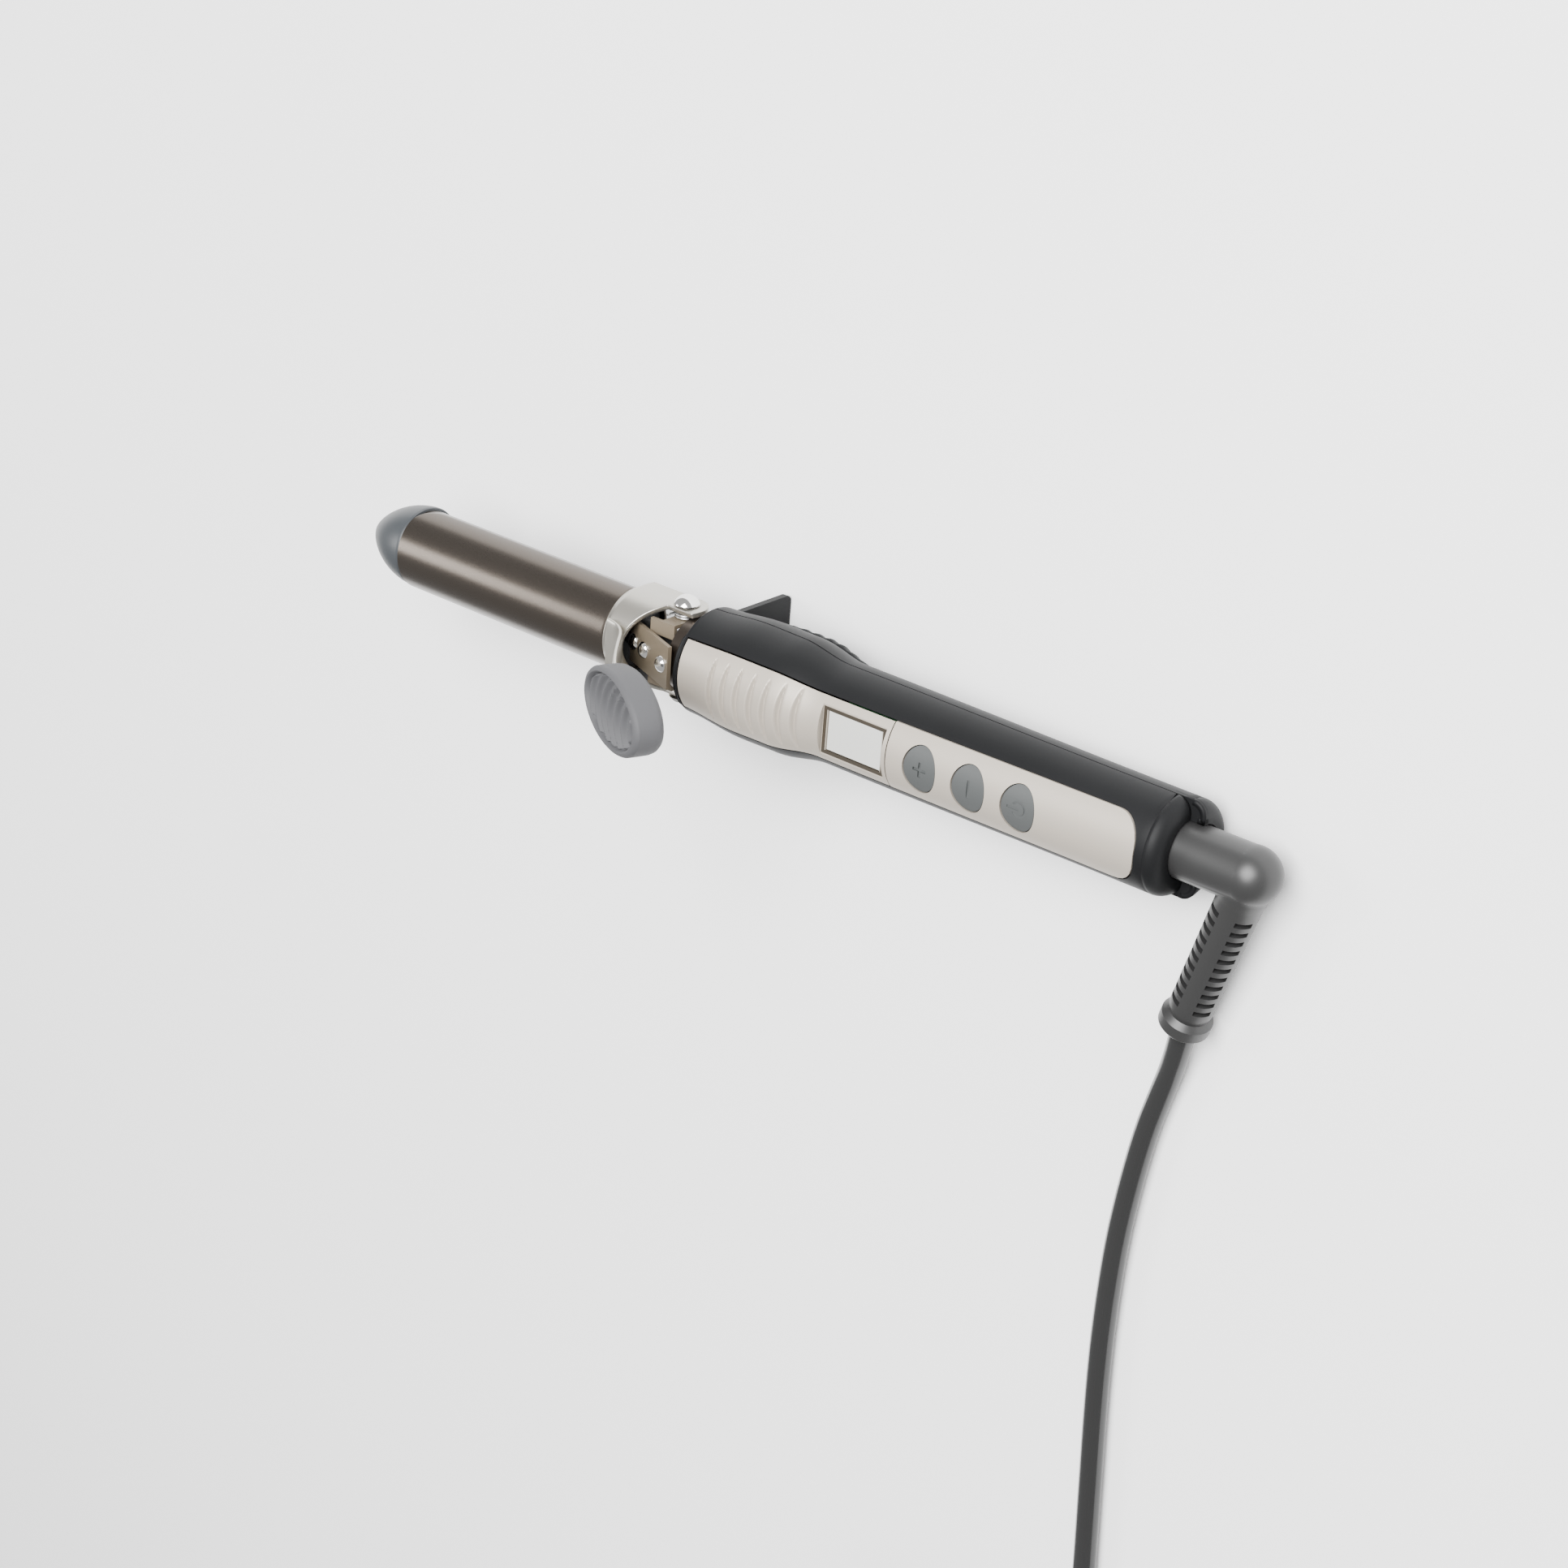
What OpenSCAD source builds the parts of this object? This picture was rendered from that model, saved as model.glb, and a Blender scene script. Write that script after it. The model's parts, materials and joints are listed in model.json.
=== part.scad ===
// Curling iron with a spring clamp, thumb lever, display, three buttons and a swivel cord.
// The iron is drawn along +X (towards the tip) and then seated nose-up on its rest plate.

/* [Barrel and clamp] */
// Diameter of the heated barrel
barrel_d = 25; // [23:0.5:27]
// Wall of the barrel tube
barrel_wall = 0.8; // [0.6:0.1:1.2]
// Distance from the handle's rim to the barrel's front end
barrel_end = 126; // [105:1:150]
// Length of the cool tip in front of the barrel
tip_len = 24; // [18:1:30]
// Thickness of the clamp plate
clamp_t = 0.9; // [0.7:0.1:1.4]
// Running gap between clamp and barrel
clamp_gap = 0.4; // [0.35:0.05:0.6]
// Thickness of the collar at the clamp's rear
collar_t = 1.9; // [1.4:0.1:2.4]
// Where the collar's band starts, in front of the rim
collar_x0 = 24.5; // [23:0.5:27]
// Width of the collar's band
collar_w = 8; // [6:0.5:10]
// Distance of the clamp's pivot from the rim
pivot_x = 11; // [10:0.5:12]
// Diameter of the pivot rivets' shanks
rivet_d = 3.8; // [3:0.1:4.5]
// Running clearance of the rivets, radial
pin_clear = 0.05; // [0.02:0.01:0.1]

/* [Thumb lever] */
// Length of the lever's pad
pad_len = 41; // [34:1:46]
// Width of the lever's pad
pad_w = 24; // [20:1:28]
// Thickness of the lever's pad
pad_t = 11; // [8:0.5:12]
// Height of the pad's face above the barrel's axis
pad_h = 53; // [49:1:56]
// Lean of the pad from the barrel's axis, in degrees
pad_lean = 24; // [20:1:28]

/* [Handle] */
// Length of the handle
handle_len = 177; // [160:1:215]
// Radius at the front rim
rim_r = 17; // [16.5:0.1:18]
// Radius of the front bulge
bulge_r = 18.5; // [18:0.1:19.5]
// Radius at the waist
waist_r = 15.6; // [15:0.1:16.5]
// Radius near the rear end
rear_r = 14.8; // [14.2:0.1:15.5]
// Rounding of the rear edge
end_round = 4.5; // [3:0.5:5]
// Wall of the shells
shell_wall = 2.2; // [1.8:0.1:2.6]
// Thickness of the inlaid panels
panel_t = 1.2; // [1:0.1:1.4]
// Gap round inlaid pieces and along the seam
seam_gap = 0.3; // [0.2:0.05:0.4]
// Reach of the rest plate below the axis
rest_drop = 30; // [27:1:36]
// Width of the rest plate
rest_w = 31; // [26:1:33]

/* [Controls] */
// Distance of the first button from the rim
button_x = 92.5; // [91:0.5:96]
// Distance between buttons
button_pitch = 17.1; // [16:0.1:18]
// Length of a button along the handle
button_len = 11.2; // [10:0.1:12]
// Width of a button across the handle
button_w = 14; // [12:0.1:15]
// Travel of a button
button_travel = 0.6; // [0.4:0.1:0.8]
// Clearance round a button
button_clear = 0.3; // [0.25:0.05:0.4]

/* [Cord] */
// Diameter of the cord
cord_d = 7.5; // [6.5:0.1:8]
// Radius of the swivel boss
boss_r = 8.4; // [7.5:0.1:8.8]
// Running clearance of the swivel, radial
swivel_clear = 0.08; // [0.04:0.01:0.1]
// Mean radius of the stored coil
coil_r = 41; // [38:1:46]

/* [Hidden] */
$fn = 96;
eps = 0.01;

SHELL = [0.12, 0.12, 0.125];
SATIN = [0.62, 0.57, 0.50];
METAL = [0.48, 0.45, 0.41];
CHROME = [0.82, 0.81, 0.79];

barrel_r = barrel_d / 2;
clamp_in = barrel_r + clamp_gap;
clamp_out = clamp_in + clamp_t;
collar_out = clamp_in + collar_t;
collar_x1 = collar_x0 + collar_w;
ear_r = 6.5;
rivet_r = rivet_d / 2;
cheek_in = barrel_r - 3;
cheek_t = 1.2;
neck_end = 7;
tube_start = collar_x0 + 5.5;
core_r = 4.7;
plate_half = 1.1;
plate_s = 4.1;
tip_x = barrel_end + tip_len;
end_r = rear_r - end_round;

// Seat: the nose-up angle at which the rest plate's edge and the rear end touch one plane
drop_diff = rest_drop - end_r;
span = handle_len - end_round - plate_s - plate_half;
tilt = acos(end_round / norm([drop_diff, span])) - atan2(span, drop_diff);
lift = (handle_len - end_round) * sin(tilt) + end_r * cos(tilt) + end_round;
nose_x = tip_x * cos(tilt);
tail_x = -(handle_len - end_round) * cos(tilt) - end_r * sin(tilt) - end_round;
shift = -(nose_x + tail_x) / 2;

// Radius of the handle at a distance s behind its rim: stations joined by cosine ramps
stations = [[0, rim_r], [22, bulge_r], [35, bulge_r - 0.2], [54, waist_r], [handle_len - end_round, rear_r]];
function ramp(t) = (1 - cos(180 * t)) / 2;
function between(s, i) =
    s <= stations[i + 1][0] || i >= len(stations) - 2
    ? stations[i][1] + (stations[i + 1][1] - stations[i][1])
      * ramp(min(1, (s - stations[i][0]) / (stations[i + 1][0] - stations[i][0])))
    : between(s, i + 1);
function handle_r(s) = between(s, 0);
straight_end = handle_len - end_round;
profile_s = concat([for (s = [0:4:60]) s], [for (k = [1:6]) 60 + (straight_end - 60) * k / 6]);

// The upper shell ends short of the lower one, by a step
rear_step = 4.5;

// A solid turned about the handle's axis from points [radius, distance behind the rim]
module turned(points) rotate([0, -90, 0]) rotate_extrude() polygon(points);

module handle_body(inset, step = 0) {
    e = max(end_round - inset, 0.6);
    end_s = handle_len - step - inset;
    turned(concat(
        [[0, 0]],
        [for (s = profile_s) if (s < end_s - e) [handle_r(s) - inset, s]],
        [for (a = [0:15:90]) [rear_r - inset - e + e * cos(a), end_s - e + e * sin(a)]],
        [[0, end_s]]));
}

module upper(z0) translate([-400, -60, z0]) cube([700, 120, 120]);
module lower(z1) translate([-400, -60, z1 - 120]) cube([700, 120, 120]);

// Half width of the inlaid panels, following the handle's swell
function panel_w(s) = s < 60 ? handle_r(s) * sin(40.5) : 10.2;
panel_front = 1.6;
panel_rear = handle_len - 12;
panel_joint = 80.5;
corner = 8;
function panel_side(grow) = concat(
    [for (s = [panel_front, 8, 16, 24, 32, 38, 44, 50, 56]) [-s, panel_w(s) + grow]],
    [for (a = [0:15:90]) [-(panel_rear + grow - corner) - corner * sin(a),
                          panel_w(100) + grow - corner + corner * cos(a)]]);
module panel_outline(grow) {
    side = panel_side(grow);
    back = [for (i = [len(side) - 1:-1:0]) [side[i][0], -side[i][1]]];
    polygon(concat([for (p = side) p], back));
}

function oval(l, w, n) = [for (i = [0:n - 1]) [l / 2 * cos(360 * i / n), w / 2 * sin(360 * i / n)]];
module button_shape(grow) polygon(oval(button_len + 2 * grow, button_w + 2 * grow, 48));
module at_buttons() for (i = [0:2]) translate([-button_x - i * button_pitch, 0, 0]) children();

window_s0 = 55.5;
window_s1 = 79;
window_z = 13.4;
window_half = 7;
post_s = [50, handle_len - 23.5];
post_r = 3;
screw_r = 1.25;
socket_wall = 2.4;
plate_shape_z = 6;

module rest_shape(grow) translate([-plate_s - plate_half - grow, 0, 0]) rotate([90, 0, 90])
    linear_extrude(2 * plate_half + 2 * grow) {
        translate([-rest_w / 2 - grow, -rest_drop + 2]) square([rest_w + 2 * grow, rest_drop - 2 - plate_shape_z]);
        translate([-rest_w / 2 + 2, -rest_drop - grow]) square([rest_w - 4, 4]);
        for (m = [-1, 1]) translate([m * (rest_w / 2 - 2), -rest_drop + 2]) circle(2 + grow);
    }
plate_seat_r = rim_r - 0.6;

module front_shell() color(SHELL) difference() {
    union() {
        difference() {
            intersection() { handle_body(0, rear_step); upper(seam_gap / 2); }
            handle_body(shell_wall + panel_t, rear_step);
            translate([-3, 0, 0]) rotate([0, 90, 0]) cylinder(r = rim_r - shell_wall, h = 10);
        }
        intersection() {
            handle_body(shell_wall, rear_step);
            for (s = post_s) translate([-s, 0, seam_gap / 2]) cylinder(r = post_r, h = 20);
        }
    }
    difference() {
        linear_extrude(60) panel_outline(seam_gap);
        handle_body(panel_t + 0.1);
    }
    for (s = post_s) translate([-s, 0, -1]) cylinder(r = screw_r - 0.1, h = 9);
    translate([-window_s1 - 0.2, -window_half - 0.9, 9]) cube([window_s1 - window_s0 + 0.4, 2 * window_half + 1.8, 20]);
    at_buttons() linear_extrude(40) button_shape(button_clear + 0.1);
    rotate([0, -90, 0]) cylinder(r = boss_r + swivel_clear, h = handle_len + 5);
    translate([-flange_s, 0, 0]) rotate([0, 90, 0]) cylinder(r = boss_r + 2.4, h = 8);
}

module back_shell() color(SHELL) difference() {
    union() {
        difference() {
            intersection() { handle_body(0); lower(-seam_gap / 2); }
            handle_body(shell_wall);
        }
        intersection() {
            handle_body(1);
            for (s = post_s) translate([-s, 0, -30]) cylinder(r = post_r, h = 30 - seam_gap / 2);
        }
    }
    for (s = post_s) {
        translate([-s, 0, -40]) cylinder(r = screw_r, h = 45);
        translate([-s, 0, -40]) cylinder(r = 2.7, h = 40 - 11);
    }
    difference() { rest_shape(0); rotate([0, -90, 0]) cylinder(r = plate_seat_r, h = 20); }
    grip_recess();
    rotate([0, -90, 0]) cylinder(r = boss_r + swivel_clear, h = handle_len + 5);
    translate([-flange_s, 0, 0]) rotate([0, 90, 0]) cylinder(r = boss_r + 2.4, h = 8);
}

// Soft grip on the back: waves 5 mm apart that fade towards the waist
grip_s0 = 18;
grip_s1 = 52;
function grip_rise(s) =
    (0.5 + 0.8 * sin(180 * pow((s - grip_s0) / (grip_s1 - grip_s0), 0.7)))
    + 0.35 * (1 - cos(360 * (s - grip_s0) / 4.9)) * sin(180 * (s - grip_s0) / (grip_s1 - grip_s0));
module grip_sector(half) rotate([90, 0, -90])
    linear_extrude(70) polygon([[0, 0], [40 * sin(-half), -40 * cos(half)], [0, -60], [40 * sin(half), -40 * cos(half)]]);
module grip_recess() intersection() {
    grip_sector(52);
    difference() {
        turned(concat([for (s = [grip_s0:2:grip_s1]) [handle_r(s) + 4, s]], [for (s = [grip_s1, grip_s0]) [1, s]]));
        turned(concat([for (s = [grip_s0 - 1:2:grip_s1 + 1]) [handle_r(s) - 0.8, s]],
            [for (s = [grip_s1 + 1, grip_s0 - 1]) [0, s]]));
    }
}
module back_grip() color(SHELL) intersection() {
    grip_sector(51);
    turned(concat(
        [for (s = [grip_s0 + 0.1:0.817:grip_s1 - 0.1]) [handle_r(s) + grip_rise(s), s]],
        [for (s = [grip_s1 - 0.1:-2:grip_s0 + 0.1]) [handle_r(s) - 0.75, s]],
        [[handle_r(grip_s0) - 0.75, grip_s0 + 0.1]]));
}

module neck_ring() color("black") translate([-2.9, 0, 0]) rotate([0, 90, 0]) difference() {
    cylinder(r = rim_r - shell_wall - 0.05, h = 2.4);
    translate([0, 0, -1]) cylinder(r = barrel_r + 0.05, h = 5);
}

module rest_plate() color(SHELL) difference() {
    rest_shape(-0.02);
    rotate([0, -90, 0]) cylinder(r = plate_seat_r + 0.05, h = 20);
}

module panel_skin(s0, s1) intersection() {
    difference() { handle_body(0.02); handle_body(panel_t); }
    linear_extrude(60) intersection() {
        panel_outline(0);
        translate([-s1, -40]) square([s1 - s0, 80]);
    }
}

// Seven crescent grooves across the front panel
groove_n = 7;
groove_s = 15;
groove_pitch = 5.25;
module groove(s) {
    r = handle_r(s);
    translate([-s, 0, 0]) rotate([0, 90, 0]) rotate_extrude() translate([r + 0.35, 0]) circle(0.95, $fn = 32);
}

module front_panel() color(SATIN) difference() {
    panel_skin(panel_front, panel_joint - seam_gap / 2);
    translate([-window_s1, -12, window_z + 0.1]) cube([window_s1 - window_s0, 24, 20]);
    translate([-window_s1, -window_half - 0.6, 5]) cube([window_s1 - window_s0, 2 * window_half + 1.2, 20]);
    intersection() {
        for (i = [0:groove_n - 1]) groove(groove_s + i * groove_pitch);
        translate([-60, -9.6, 5]) cube([60, 19.2, 20]);
    }
}

module rear_panel() color(SATIN) difference() {
    panel_skin(panel_joint + seam_gap / 2, panel_rear + 1);
    at_buttons() linear_extrude(40) button_shape(button_clear);
}

module display_bezel() color(SATIN) difference() {
    translate([-window_s1 + 0.15, -window_half - 0.4, window_z - 1.8])
        cube([window_s1 - window_s0 - 0.3, 2 * window_half + 0.8, 1.8]);
    translate([-window_s1 + 1.4, -window_half + 0.7, window_z - 3])
        cube([window_s1 - window_s0 - 2.8, 2 * window_half - 1.4, 5]);
}

module display_window() color([0.75, 0.75, 0.72]) translate([-window_s1 + 1.45, -window_half + 0.75, window_z - 1.6])
    cube([window_s1 - window_s0 - 2.9, 2 * window_half - 1.5, 1.2]);

module display_module() color("darkgreen") {
    translate([-window_s1 + 2, -window_half + 1, window_z - 4.2]) cube([window_s1 - window_s0 - 4, 2 * window_half - 2, 2.4]);
    for (y = [-5, 5]) translate([-window_s1 + 5, y - 0.6, board_z + board_t])
        cube([1.2, 1.2, window_z - 4.2 - board_z - board_t]);
}

board_z = 2;
board_t = 1.6;
board_front = 57;
board_rear = post_s[1] - post_r - 1;
switch_h = 2.6;
pad_z0 = board_z + board_t + switch_h + 0.1;
pad_z1 = pad_z0 + 1.6;
button_z0 = pad_z1 + button_travel + 0.3;

module circuit_board() color("darkgreen") difference() {
    translate([-board_rear, -8.5, board_z]) cube([board_rear - board_front, 17, board_t]);
    for (s = [board_front + 4, board_rear - 4]) translate([-s, 6, 0]) cylinder(r = 1.1, h = 10);
}
module tact_switches() color("black") at_buttons() {
    translate([-3, -3, board_z + board_t]) cube([6, 6, switch_h - 0.9]);
    translate([0, 0, board_z + board_t]) cylinder(r = 1.6, h = switch_h);
}
module button_pad() color("dimgray") {
    at_buttons() translate([0, 0, pad_z0]) cylinder(r = 4.4, h = pad_z1 - pad_z0);
    translate([-button_x - 2 * button_pitch - 7, -5.5, pad_z0]) cube([2 * button_pitch + 14, 11, 0.7]);
}

module button_block(index) color([0.28, 0.285, 0.29]) translate([-button_x - index * button_pitch, 0, 0])
    difference() {
        intersection() {
            translate([0, 0, button_z0]) linear_extrude(20) button_shape(0);
            rotate([0, 90, 0]) translate([0, 0, -20]) cylinder(r = handle_r(button_x + index * button_pitch) - 0.35, h = 40);
        }
        translate([0, 0, waist_r - 1.1]) linear_extrude(5) children();
    }
module plus_button() button_block(0) {
    union() { square([4.6, 0.9], center = true); square([0.9, 4.6], center = true); }
}
module minus_button() button_block(1) square([0.9, 5.4], center = true);
module power_button() button_block(2) {
    difference() {
        translate([-0.4, 0]) circle(2.5);
        translate([-0.4, 0]) circle(1.8);
        translate([0, -1.2]) square([5, 2.4]);
    }
    translate([-0.4, -0.35]) square([4, 0.7]);
}

module shell_screws() color(CHROME) for (s = post_s) translate([-s, 0, -11]) {
    translate([0, 0, -1.6]) cylinder(r = 2.4, h = 1.6);
    cylinder(r = screw_r - 0.12, h = 17);
}

// Swivel: boss, flange and spindle turn in the rear socket, leaves press on the two rings
flange_s = handle_len - rear_step - socket_wall;
spindle_s0 = flange_s - 12.5;
ring_s = [spindle_s0 + 0.6, spindle_s0 + 5.3];
spindle_r = 3.5;
ring_r = 5.4;
module swivel_spindle() color("ivory") translate([-flange_s + 3.4, 0, 0]) rotate([0, 90, 0])
    cylinder(r = spindle_r, h = flange_s - 3.4 - spindle_s0);
module contact_rings() color("goldenrod") for (s = ring_s) translate([-s - 3, 0, 0]) rotate([0, 90, 0])
    difference() { cylinder(r = ring_r, h = 3); translate([0, 0, -1]) cylinder(r = spindle_r, h = 5); }
module contact_leaves() color("goldenrod") for (i = [0, 1]) {
    translate([-ring_s[i] - 2.5, -1, -ring_r - 1]) cube([2, 2, 0.6]);
    translate([-ring_s[i] - 2.5, i == 0 ? -8 : 1, -ring_r - 1]) cube([2, 7, 0.6]);
    translate([-ring_s[i] - 2.5, i == 0 ? -8 : 7, -ring_r - 1]) cube([2, 1, ring_r]);
}
module internal_leads() color("firebrick") for (y = [-7.2, 7.2])
    translate([-ring_s[0] + 0.5, y, -1.8]) rotate([0, 90, 0]) cylinder(r = 0.9, h = ring_s[0] - 0.5 - core_back + eps);

core_back = 30;
module neck_sleeve() color(METAL) translate([-16, 0, 0]) rotate([0, 90, 0]) difference() {
    cylinder(r = barrel_r, h = 16 + neck_end);
    translate([0, 0, -1]) cylinder(r = barrel_r - 1.2, h = 30);
}
module insulating_core() color([0.1, 0.1, 0.1]) rotate([0, 90, 0]) {
    translate([0, 0, -core_back]) cylinder(r = core_r, h = core_back + tube_start + 6);
    translate([0, 0, -14]) cylinder(r = barrel_r - 1.25, h = 5);
    translate([0, 0, -core_back]) cylinder(r = 8.4, h = 2);
}

// Sloping bracket with two cheeks that hold the rivets
plate_slope = 21;
plate_top = 13.9;
plate_x = 7.9;
screw_x = [0, 11.8, 19];
module on_slope() translate([plate_x, 0, plate_top]) rotate([0, plate_slope, 0]) children();
module clamp_bracket() color([0.36, 0.31, 0.24]) {
    difference() {
        union() {
            on_slope() translate([-4.2, -7, -1.2]) cube([25.5, 14, 1.2]);
            for (m = [-1, 1]) translate([plate_x + 0.2, m > 0 ? 6 : -cheek_in - cheek_t, 7.2])
                cube([9.8, cheek_in + cheek_t - 6, 1.2]);
        }
        on_slope() for (x = screw_x) translate([x, 0, -3]) cylinder(r = 1.3, h = 6);
    }
    for (m = [0, 1]) mirror([0, m, 0]) translate([0, cheek_in, 0]) rotate([-90, 0, 0]) difference() {
        union() {
            translate([pivot_x, 0, 0]) cylinder(r = 3.4, h = cheek_t);
            translate([plate_x + 0.2, -8.4, 0]) cube([2 * (pivot_x - plate_x) - 0.4, 8.4, cheek_t]);
        }
        translate([pivot_x, 0, -1]) cylinder(r = rivet_r, h = 5);
    }
}
module bracket_screws() color(CHROME) on_slope() for (x = screw_x) translate([x, 0, 0]) {
    intersection() { translate([0, 0, -1.1]) sphere(3); cylinder(r = 2.7, h = 4); }
    translate([0, 0, -2.6]) cylinder(r = 1.2, h = 3);
}

head_gap = 0.3;
module pivot_rivets() color(CHROME) for (m = [0, 1]) mirror([0, m, 0]) translate([pivot_x, 0, 0]) rotate([-90, 0, 0]) {
    translate([0, 0, cheek_in - 0.6]) cylinder(r = rivet_r, h = collar_out + head_gap + 0.5 - cheek_in + 0.6);
    translate([0, 0, collar_out + head_gap]) intersection() {
        translate([0, 0, -1.5]) sphere(4.4);
        cylinder(r = 4.1, h = 4);
    }
}
module clamp_spring() color("silver") for (m = [0, 1]) mirror([0, m, 0]) translate([pivot_x, cheek_in + cheek_t, 0])
    rotate([-90, 0, 0]) {
        for (k = [0, 1]) translate([0, 0, 0.55 + 0.8 * k]) rotate_extrude() translate([3.3, 0]) circle(0.38, $fn = 24);
        translate([3.3, 0, 0.95]) rotate([90, 0, 0]) cylinder(r = 0.38, h = 5);
    }

module barrel_tube() color(METAL) translate([tube_start, 0, 0]) rotate([0, 90, 0]) difference() {
    cylinder(r = barrel_r, h = barrel_end - tube_start);
    translate([0, 0, -1]) cylinder(r = barrel_r - barrel_wall, h = barrel_end);
}
module barrel_end_ring() color("black") translate([tube_start + 2.2, 0, 0]) rotate([0, 90, 0]) difference() {
    cylinder(r = barrel_r - barrel_wall - 0.02, h = 3);
    translate([0, 0, -1]) cylinder(r = core_r, h = 5);
}
heater_x0 = tube_start + 8;
heater_x1 = barrel_end - 12;
module heater_half(m) intersection() {
    translate([heater_x0, 0, 0]) rotate([0, 90, 0]) cylinder(r = barrel_r - barrel_wall - 0.05, h = heater_x1 - heater_x0);
    translate([0, -20, m > 0 ? 1.9 : -21.9]) cube([200, 40, 20]);
}
module heater_upper_half() color("silver") heater_half(1);
module heater_lower_half() color("silver") difference() {
    heater_half(-1);
    translate([heater_x0 - 1, 0, -5.5]) rotate([0, 90, 0]) cylinder(r = 1.6, h = 31);
}
module ceramic_heater() color("white") translate([heater_x0 + 4, -7, -1.85]) cube([heater_x1 - heater_x0 - 8, 14, 3.7]);
module temperature_sensor() color("orange") translate([heater_x0 + 1, 0, -5.5]) rotate([0, 90, 0]) cylinder(r = 1.5, h = 28);

// Ogive tip with a stem that plugs into the barrel
tip_r = clamp_out - 0.3;
function tip_radius(t) = tip_r * pow(1 - pow(t, 1.9), 0.82);
module cool_tip() color([0.13, 0.15, 0.16]) rotate([0, 90, 0]) {
    translate([0, 0, barrel_end]) rotate_extrude() polygon(concat(
        [[0, 0]], [for (t = [0:0.07:0.98]) [tip_radius(t), t * tip_len]], [[0, tip_len]]));
    translate([0, 0, barrel_end - 9]) cylinder(r = barrel_r - barrel_wall - 0.05, h = 9 + eps);
}

arch_deep = 12.5;
arch_half = collar_out + 0.6;
arch_r = (pow(arch_half, 2) + pow(arch_deep, 2)) / (2 * arch_deep);
// Clamp: a half tube over the barrel's top, with a collar whose rear is an arch between two ears
clamp_end = barrel_end - 0.5;
module clamp_plate() color(METAL) intersection() {
    translate([collar_x1 - 0.2, 0, 0]) rotate([0, 90, 0]) difference() {
        cylinder(r = clamp_out, h = clamp_end - collar_x1 + 0.2);
        translate([0, 0, -1]) cylinder(r = clamp_in, h = 200);
    }
    rotate([90, 0, 0]) translate([0, 0, -20]) linear_extrude(40) union() {
        translate([collar_x1 - 1, 0]) square([clamp_end - 9 - collar_x1 + 1, 20]);
        translate([clamp_end - 9.5, 9]) square([9.5, 11]);
        translate([clamp_end - 9, 9]) circle(9);
    }
}
// The legs start a little below the axis, so that their flats meet the round at a real edge
leg_z = 1;
module u_section(r, depth) {
    leg_w = sqrt(r * r - leg_z * leg_z);
    intersection() { circle(r); translate([-leg_z, -30]) square([30, 60]); }
    translate([-depth, -leg_w]) square([depth - leg_z + eps, 2 * leg_w]);
}
module clamp_collar() color([0.66, 0.65, 0.63]) difference() {
    intersection() {
        rotate([0, -90, 180]) linear_extrude(collar_x1) u_section(collar_out, ear_r);
        union() {
            translate([pivot_x, -20, -ear_r]) cube([collar_x1 - pivot_x, 40, ear_r + 20]);
            translate([pivot_x, 20, 0]) rotate([90, 0, 0]) cylinder(r = ear_r + 0.15, h = 40);
        }
    }
    rotate([0, -90, 180]) translate([0, 0, -5]) linear_extrude(collar_x1 + 10) u_section(clamp_in, ear_r + 5);
    translate([collar_x0 - arch_r, 0, 0.6 * ear_r]) cylinder(r = arch_r, h = 30);
    translate([collar_x0 - arch_r - 40, -20, 0.6 * ear_r]) cube([40, 40, 30]);
    translate([0, -barrel_r - 0.2, -10]) cube([pivot_x + 3, 2 * barrel_r + 0.4, 16]);
    translate([pivot_x, 20, 0]) rotate([90, 0, 0]) cylinder(r = rivet_r + pin_clear, h = 40);
    for (y = [-3.2, 3.2]) translate([collar_x0 + 4, y, 5]) cylinder(r = 0.8, h = 20);
}

pad_x = -6.5;
foot_z = collar_out - 0.9;
module pad_place() translate([pad_x, 0, pad_h]) rotate([0, pad_lean, 0]) children();
module thumb_lever() color([0.2, 0.2, 0.205]) difference() {
    union() {
        pad_place() translate([0, 0, -pad_t]) linear_extrude(pad_t) polygon(oval(pad_len, pad_w, 64));
        translate([0, 7, 0]) rotate([90, 0, 0]) linear_extrude(14) polygon([
            [collar_x1 - 0.4, foot_z], [collar_x1 - 0.4, foot_z + 4.2], [collar_x1 - 5, foot_z + 9.5],
            [pad_x + 20, pad_h - 14.5], [pad_x + 3, pad_h - 7], [pad_x - 5, pad_h - 5.5],
            [pad_x + 12, pad_h - 19], [collar_x0 + 0.4, foot_z + 6], [collar_x0 + 0.4, foot_z]]);
    }
    rotate([0, 90, 0]) cylinder(r = collar_out, h = 60);
    for (y = [-3.2, 3.2]) translate([collar_x0 + 4, y, 5]) cylinder(r = 0.8, h = 16);
    for (i = [-3:3]) pad_place() translate([i * 4.6, 0, 0]) rotate([90, 0, 0]) translate([0, 0, -rib_half(i)])
        cylinder(r = 1.1, h = 2 * rib_half(i));
}
function rib_half(i) = (pad_w / 2 - 2.4) * sqrt(1 - pow(i * 4.6 / (pad_len / 2 - 1.5), 2));
module lever_screws() color(CHROME) for (y = [-3.2, 3.2]) translate([collar_x0 + 4, y, clamp_in + 0.1])
    cylinder(r = 0.75, h = 7);

// Everything above is seated nose-up; the cord lies on the plane it stands on
module seat() translate([shift, 0, lift]) rotate([0, -tilt, 0]) children();

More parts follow.
